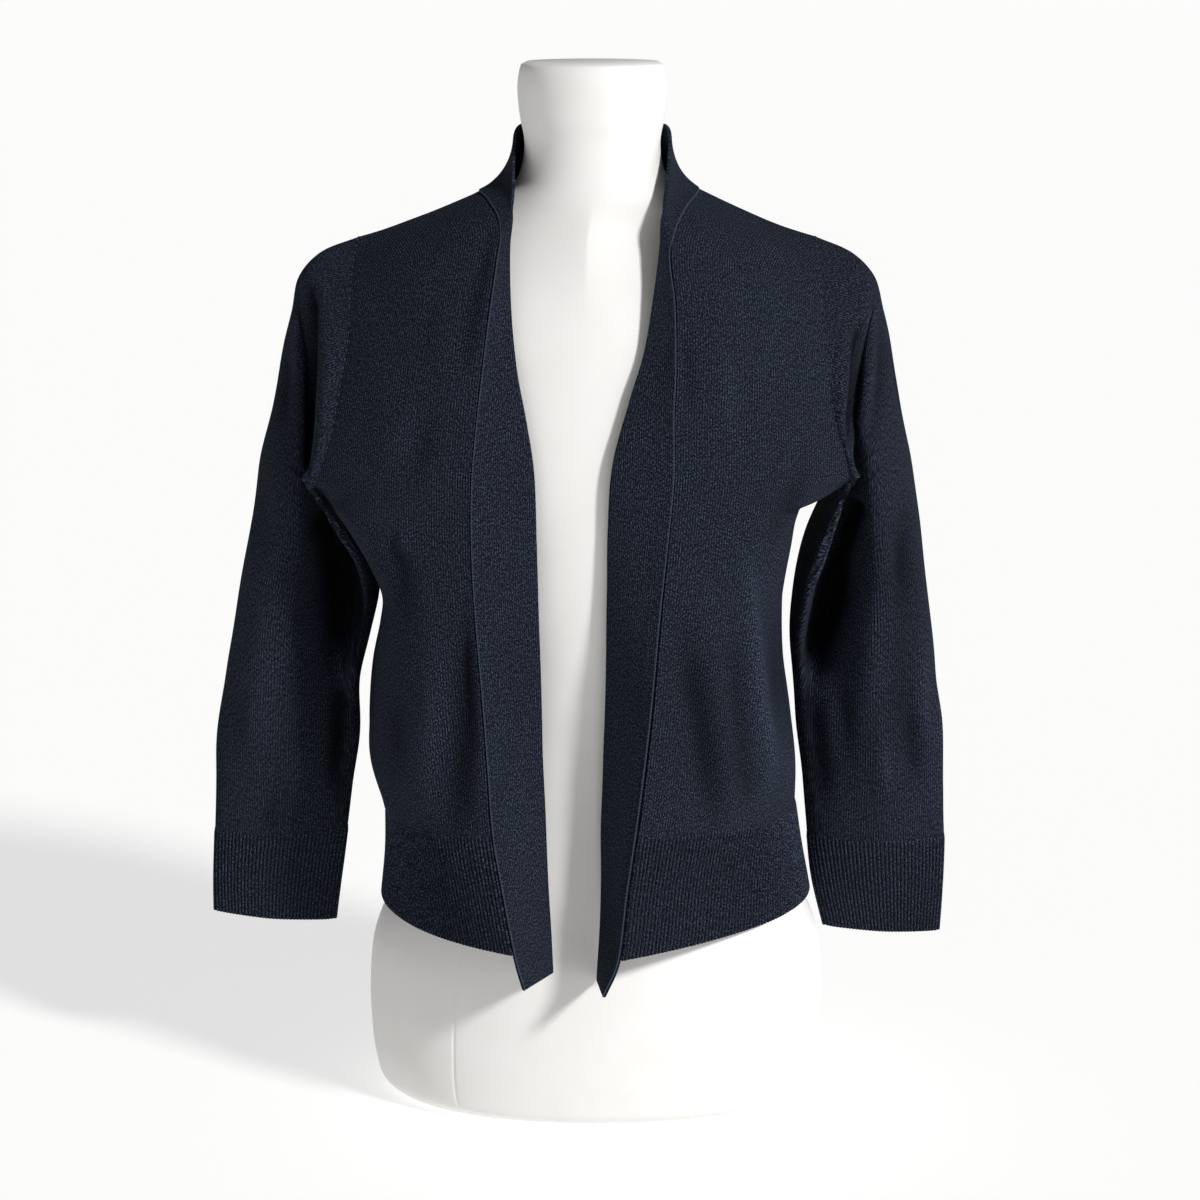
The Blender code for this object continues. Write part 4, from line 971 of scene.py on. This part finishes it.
def makeStitches(name, line, up, stitch):
    # Small closed ellipsoids along a line: cosine and sine round two angles, scaled to length, width and
    # height, turned along the line and raised a little above it.
    spots, along, up = alongLine(line, up, stitch["pitch"])
    centres = spots + stitch["raise"] * up
    turn = np.linspace(0, 2 * np.pi, beadSides, endpoint=False)
    rise = np.linspace(-np.pi / 2, np.pi / 2, beadRings + 2)[1:-1]
    rings = np.stack([np.outer(np.sin(rise), np.ones(beadSides)), np.outer(np.cos(rise), np.cos(turn)),
                      np.outer(np.cos(rise), np.sin(turn))], axis=-1).reshape(-1, 3)
    bead = np.concatenate([rings, [[-1, 0, 0], [1, 0, 0]]]) * 0.5
    bead = bead * [stitch["length"], stitch["wide"], stitch["high"]]
    side = unit(np.cross(up, along))
    up = np.cross(along, side)
    points = (centres[:, None] + bead[None, :, :1] * along[:, None] + bead[None, :, 1:2] * side[:, None]
              + bead[None, :, 2:] * up[:, None])
    start = (len(bead) * np.arange(len(centres)))[:, None, None]
    faces = [(start + part[None]).reshape(-1, part.shape[1]) for part in cappedFaces(beadRings, beadSides)]
    piece = makeMesh(name, points.reshape(-1, 3), faces, seamYarnPaintedLight)


for side in ("left", "right"):
    band = allPieces[f"band_{side}"]
    makeStitches(f"band_{side}_linking", band["grid"][:, 0], band["normals"][:, 2], linking)
for name, (panel, column) in armholeLines.items():
    line = allPieces[panel]["outer"][:, column]
    above = line[:, 2] > armholeFoot
    makeStitches(name, line[above], allPieces[panel]["normals"][above, column], armholeStitch)
print("stitches made")


formSections = [  # z, centre x, half width, front, back, power
    (0, 0, 148, 82, 85, 2.2),
    (2, 0, 158, 92, 95, 2.2),
    (9, 0, 167, 100, 103, 2.2),
    (24, 0, 171.5, 104, 107, 2.2),
    (57, 0, 175, 107, 111, 2.15),
    (91, 0, 175, 107, 112, 2.1),
    (124, 0, 171, 104, 110, 2.1),
    (140, 0, 165.5, 101, 108, 2.1),
    (156, 0, 158, 98, 104, 2.1),
    (189, 0, 152, 95, 96, 2.1),
    (217, 0, 144, 92, 87, 2.1),
    (250, -1, 134, 89, 77, 2.1),
    (290, -2, 126, 87, 69, 2.1),
    (340, -3, 127, 90, 69, 2.1),
    (380, -4, 132, 96, 72, 2.1),
    (420, -4, 138, 101, 75, 2.1),
    (460, -5, 142, 104, 79, 2.1),
    (500, -6, 147, 103, 82, 2.1),
    (530, -6, 155, 100, 83, 2.0),
    (560, -6, 169, 95, 83, 1.9),
    (590, -6, 182, 89, 80, 1.75),
    (612, -6, 187, 81, 77, 1.55),
    (630, -6.5, 185, 74, 73, 1.35),
    (643, -6.5, 177, 67, 67, 1.22),
    (653, -6.5, 158, 61, 63, 1.2),
    (663, -5.7, 135, 56, 59, 1.2),
    (672, -4.5, 112, 52, 57, 1.3),
    (680, -3, 90, 50, 55, 1.5),
    (688, -2.5, 70, 49, 54, 1.8),
    (698, -2.5, 56, 48.5, 52, 2.0),
    (712, -2.5, 50.5, 48.5, 51, 2.0),
    (730, -2.5, 49.5, 48.5, 51, 2.0),
    (740, -2.5, 51.5, 49.5, 51.5, 2.0),
    (750, -2.5, 53, 49.5, 52, 2.0),
    (774, -2.5, 53, 49, 52, 2.0),
    (781, -2.5, 51, 47, 50, 2.0),
    (783, -2.5, 47, 43, 46, 2.0),
]


formSizes = {
    "rows": 190,
    "columns": 132,
    "seams": (54, 126, 234, 306),  # degrees from +X, two behind and two in front
    "seamLines": (-1, -0.55, -0.25, 0, 0.25, 0.55, 1),  # columns beside a seam, in degrees from it
    "seamClear": 1.4,  # the even columns stay away this far
    "seamTop": 175,  # they show on the hips only
    "seamFade": 40,
    "seamWide": 1.1,
    "seamDeep": 0.45,
}


def degreesOff(turns, seams):
    # From each turn to the nearest seam.
    return np.abs((turns[:, None] - seams + 180) % 360 - 180).min(axis=1)


def formSurface():
    # Level sections, each a rounded rectangle |x|^p + |y|^p = 1 scaled to its half width and depths.
    rows = np.array(formSections, float)
    height = np.concatenate([[0], np.cumsum(np.linalg.norm(np.diff(rows[:, [0, 2]], axis=0), axis=1))])
    at = np.unique(np.concatenate([np.linspace(0, height[-1], formSizes["rows"]), height]))
    z, x, wide, front, back, power = (smoothCurve(at, height, rows)[:, [i]] for i in range(6))
    turns = np.linspace(0, 360, formSizes["columns"], endpoint=False)
    seams = np.array(formSizes["seams"])
    close = (seams[:, None] + np.array(formSizes["seamLines"])).ravel() % 360
    clear = degreesOff(turns, seams) > formSizes["seamClear"]
    turn = np.radians(np.sort(np.concatenate([turns[clear], close])))
    deep = np.where(np.sin(turn) < 0, front, back)
    across = np.sign(np.cos(turn)) * np.abs(np.cos(turn)) ** (2 / power)
    along = np.sign(np.sin(turn)) * np.abs(np.sin(turn)) ** (2 / power)
    grid = np.stack([x + wide * across, deep * along, z + 0 * turn], axis=-1)
    distance = degreesOff(np.degrees(turn), seams) * np.pi / 180 * wide
    dip = formSizes["seamDeep"] * np.exp(-(distance / formSizes["seamWide"]) ** 2)
    dip = dip * smoothStep((formSizes["seamTop"] - z) / formSizes["seamFade"])
    away = unit(np.stack([across + 0 * wide, along + 0 * wide, 0 * across + 0 * wide], axis=-1))
    return grid - away * dip[..., None]


grid = formSurface()
faces = cappedFaces(*grid.shape[:2])
centres = [grid[0].mean(axis=0), grid[-1].mean(axis=0)]
piece = makeMesh("form_cover", np.concatenate([grid.reshape(-1, 3), centres]), faces, coverCloth)
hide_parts("form")
print("form made", len(faces[0]) * 2)


studio = {
    "floor": 240.0,  # metres
    "floorColour": "#a8a8a6",
    "floorGlow": 0.72,  # light of its own, so that the paper stays pale round the form
    "wallGlow": 1.0,
    "wallHeight": 13.0,  # all round the floor's edge, so that the paper seems to go on
    "wallSides": 48,
    "world": 0.03,
    "keyStrength": 3.1,
    "keyFrom": (1.25, -1.0, 1.1),
    "keySpread": 0.14,  # radians, for soft edges
    "fillStrength": 0.08,
    "fillFrom": (-0.25, -1.0, 0.8),
    "fillSpread": 1.2,
    "paperRoughness": 0.9,
}
radius = studio["floor"] / 2
turn = np.linspace(0, 2 * np.pi, studio["wallSides"], endpoint=False)
foot = np.stack([radius * np.cos(turn), radius * np.sin(turn), 0 * turn], axis=-1)
sky = foot + np.array([0, 0, studio["wallHeight"]])
count = studio["wallSides"]
walls = [(i, i + count, (i + 1) % count + count, (i + 1) % count) for i in range(count)]
props = {"floor": (foot, [tuple(range(count))], "floorGlow"),
         "backdrop": (np.concatenate([foot, sky]), walls, "wallGlow")}
for name, (points, faces, glow) in props.items():
    material, tree = newMaterial(f"pale paper {name}")
    colour = (0, 0, 0, 1) if name == "backdrop" else linear(studio["floorColour"])
    finishMaterial(tree, addNode(tree, "ShaderNodeBsdfPrincipled", {}, Base_Color=colour,
                                 Roughness=studio["paperRoughness"], Emission_Color=(1, 1, 1, 1),
                                 Emission_Strength=studio[glow]))
    mesh = bpy.data.meshes.new(name)
    mesh.from_pydata(points.tolist(), [], faces)
    mesh.materials.append(material)
    prop = bpy.data.objects.new(name, mesh)
    bpy.context.scene.collection.objects.link(prop)
    prop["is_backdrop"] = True

world = bpy.data.worlds.new("studio")
world.use_nodes = True
world.node_tree.nodes["Background"].inputs["Color"].default_value = (1, 1, 1, 1)
world.node_tree.nodes["Background"].inputs["Strength"].default_value = studio["world"]
bpy.context.scene.world = world

for name in ("key", "fill"):
    light = bpy.data.lights.new(name, "SUN")
    light.energy = studio[f"{name}Strength"]
    light.angle = studio[f"{name}Spread"]
    lamp = bpy.data.objects.new(name, light)
    lamp.rotation_euler = Vector(studio[f"{name}From"]).to_track_quat("Z", "Y").to_euler()
    bpy.context.scene.collection.objects.link(lamp)

view = {"from": (0.003, -1.95, 0.86), "at": (0.003, 0, 0.385), "lens": 80, "reach": 400}
camera = bpy.data.cameras.new("camera")
camera.lens = view["lens"]
camera.clip_end = view["reach"]
cameraObject = bpy.data.objects.new("camera", camera)
cameraObject.location = view["from"]
toward = Vector(view["at"]) - Vector(view["from"])
cameraObject.rotation_euler = toward.to_track_quat("-Z", "Y").to_euler()
bpy.context.scene.collection.objects.link(cameraObject)
bpy.context.scene.camera = cameraObject
bpy.context.scene.view_settings.view_transform = "Standard"
print("studio made")

sizes = {"cad": [list(corner) for corner in cadBox], "visual": [list(corner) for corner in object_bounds()]}
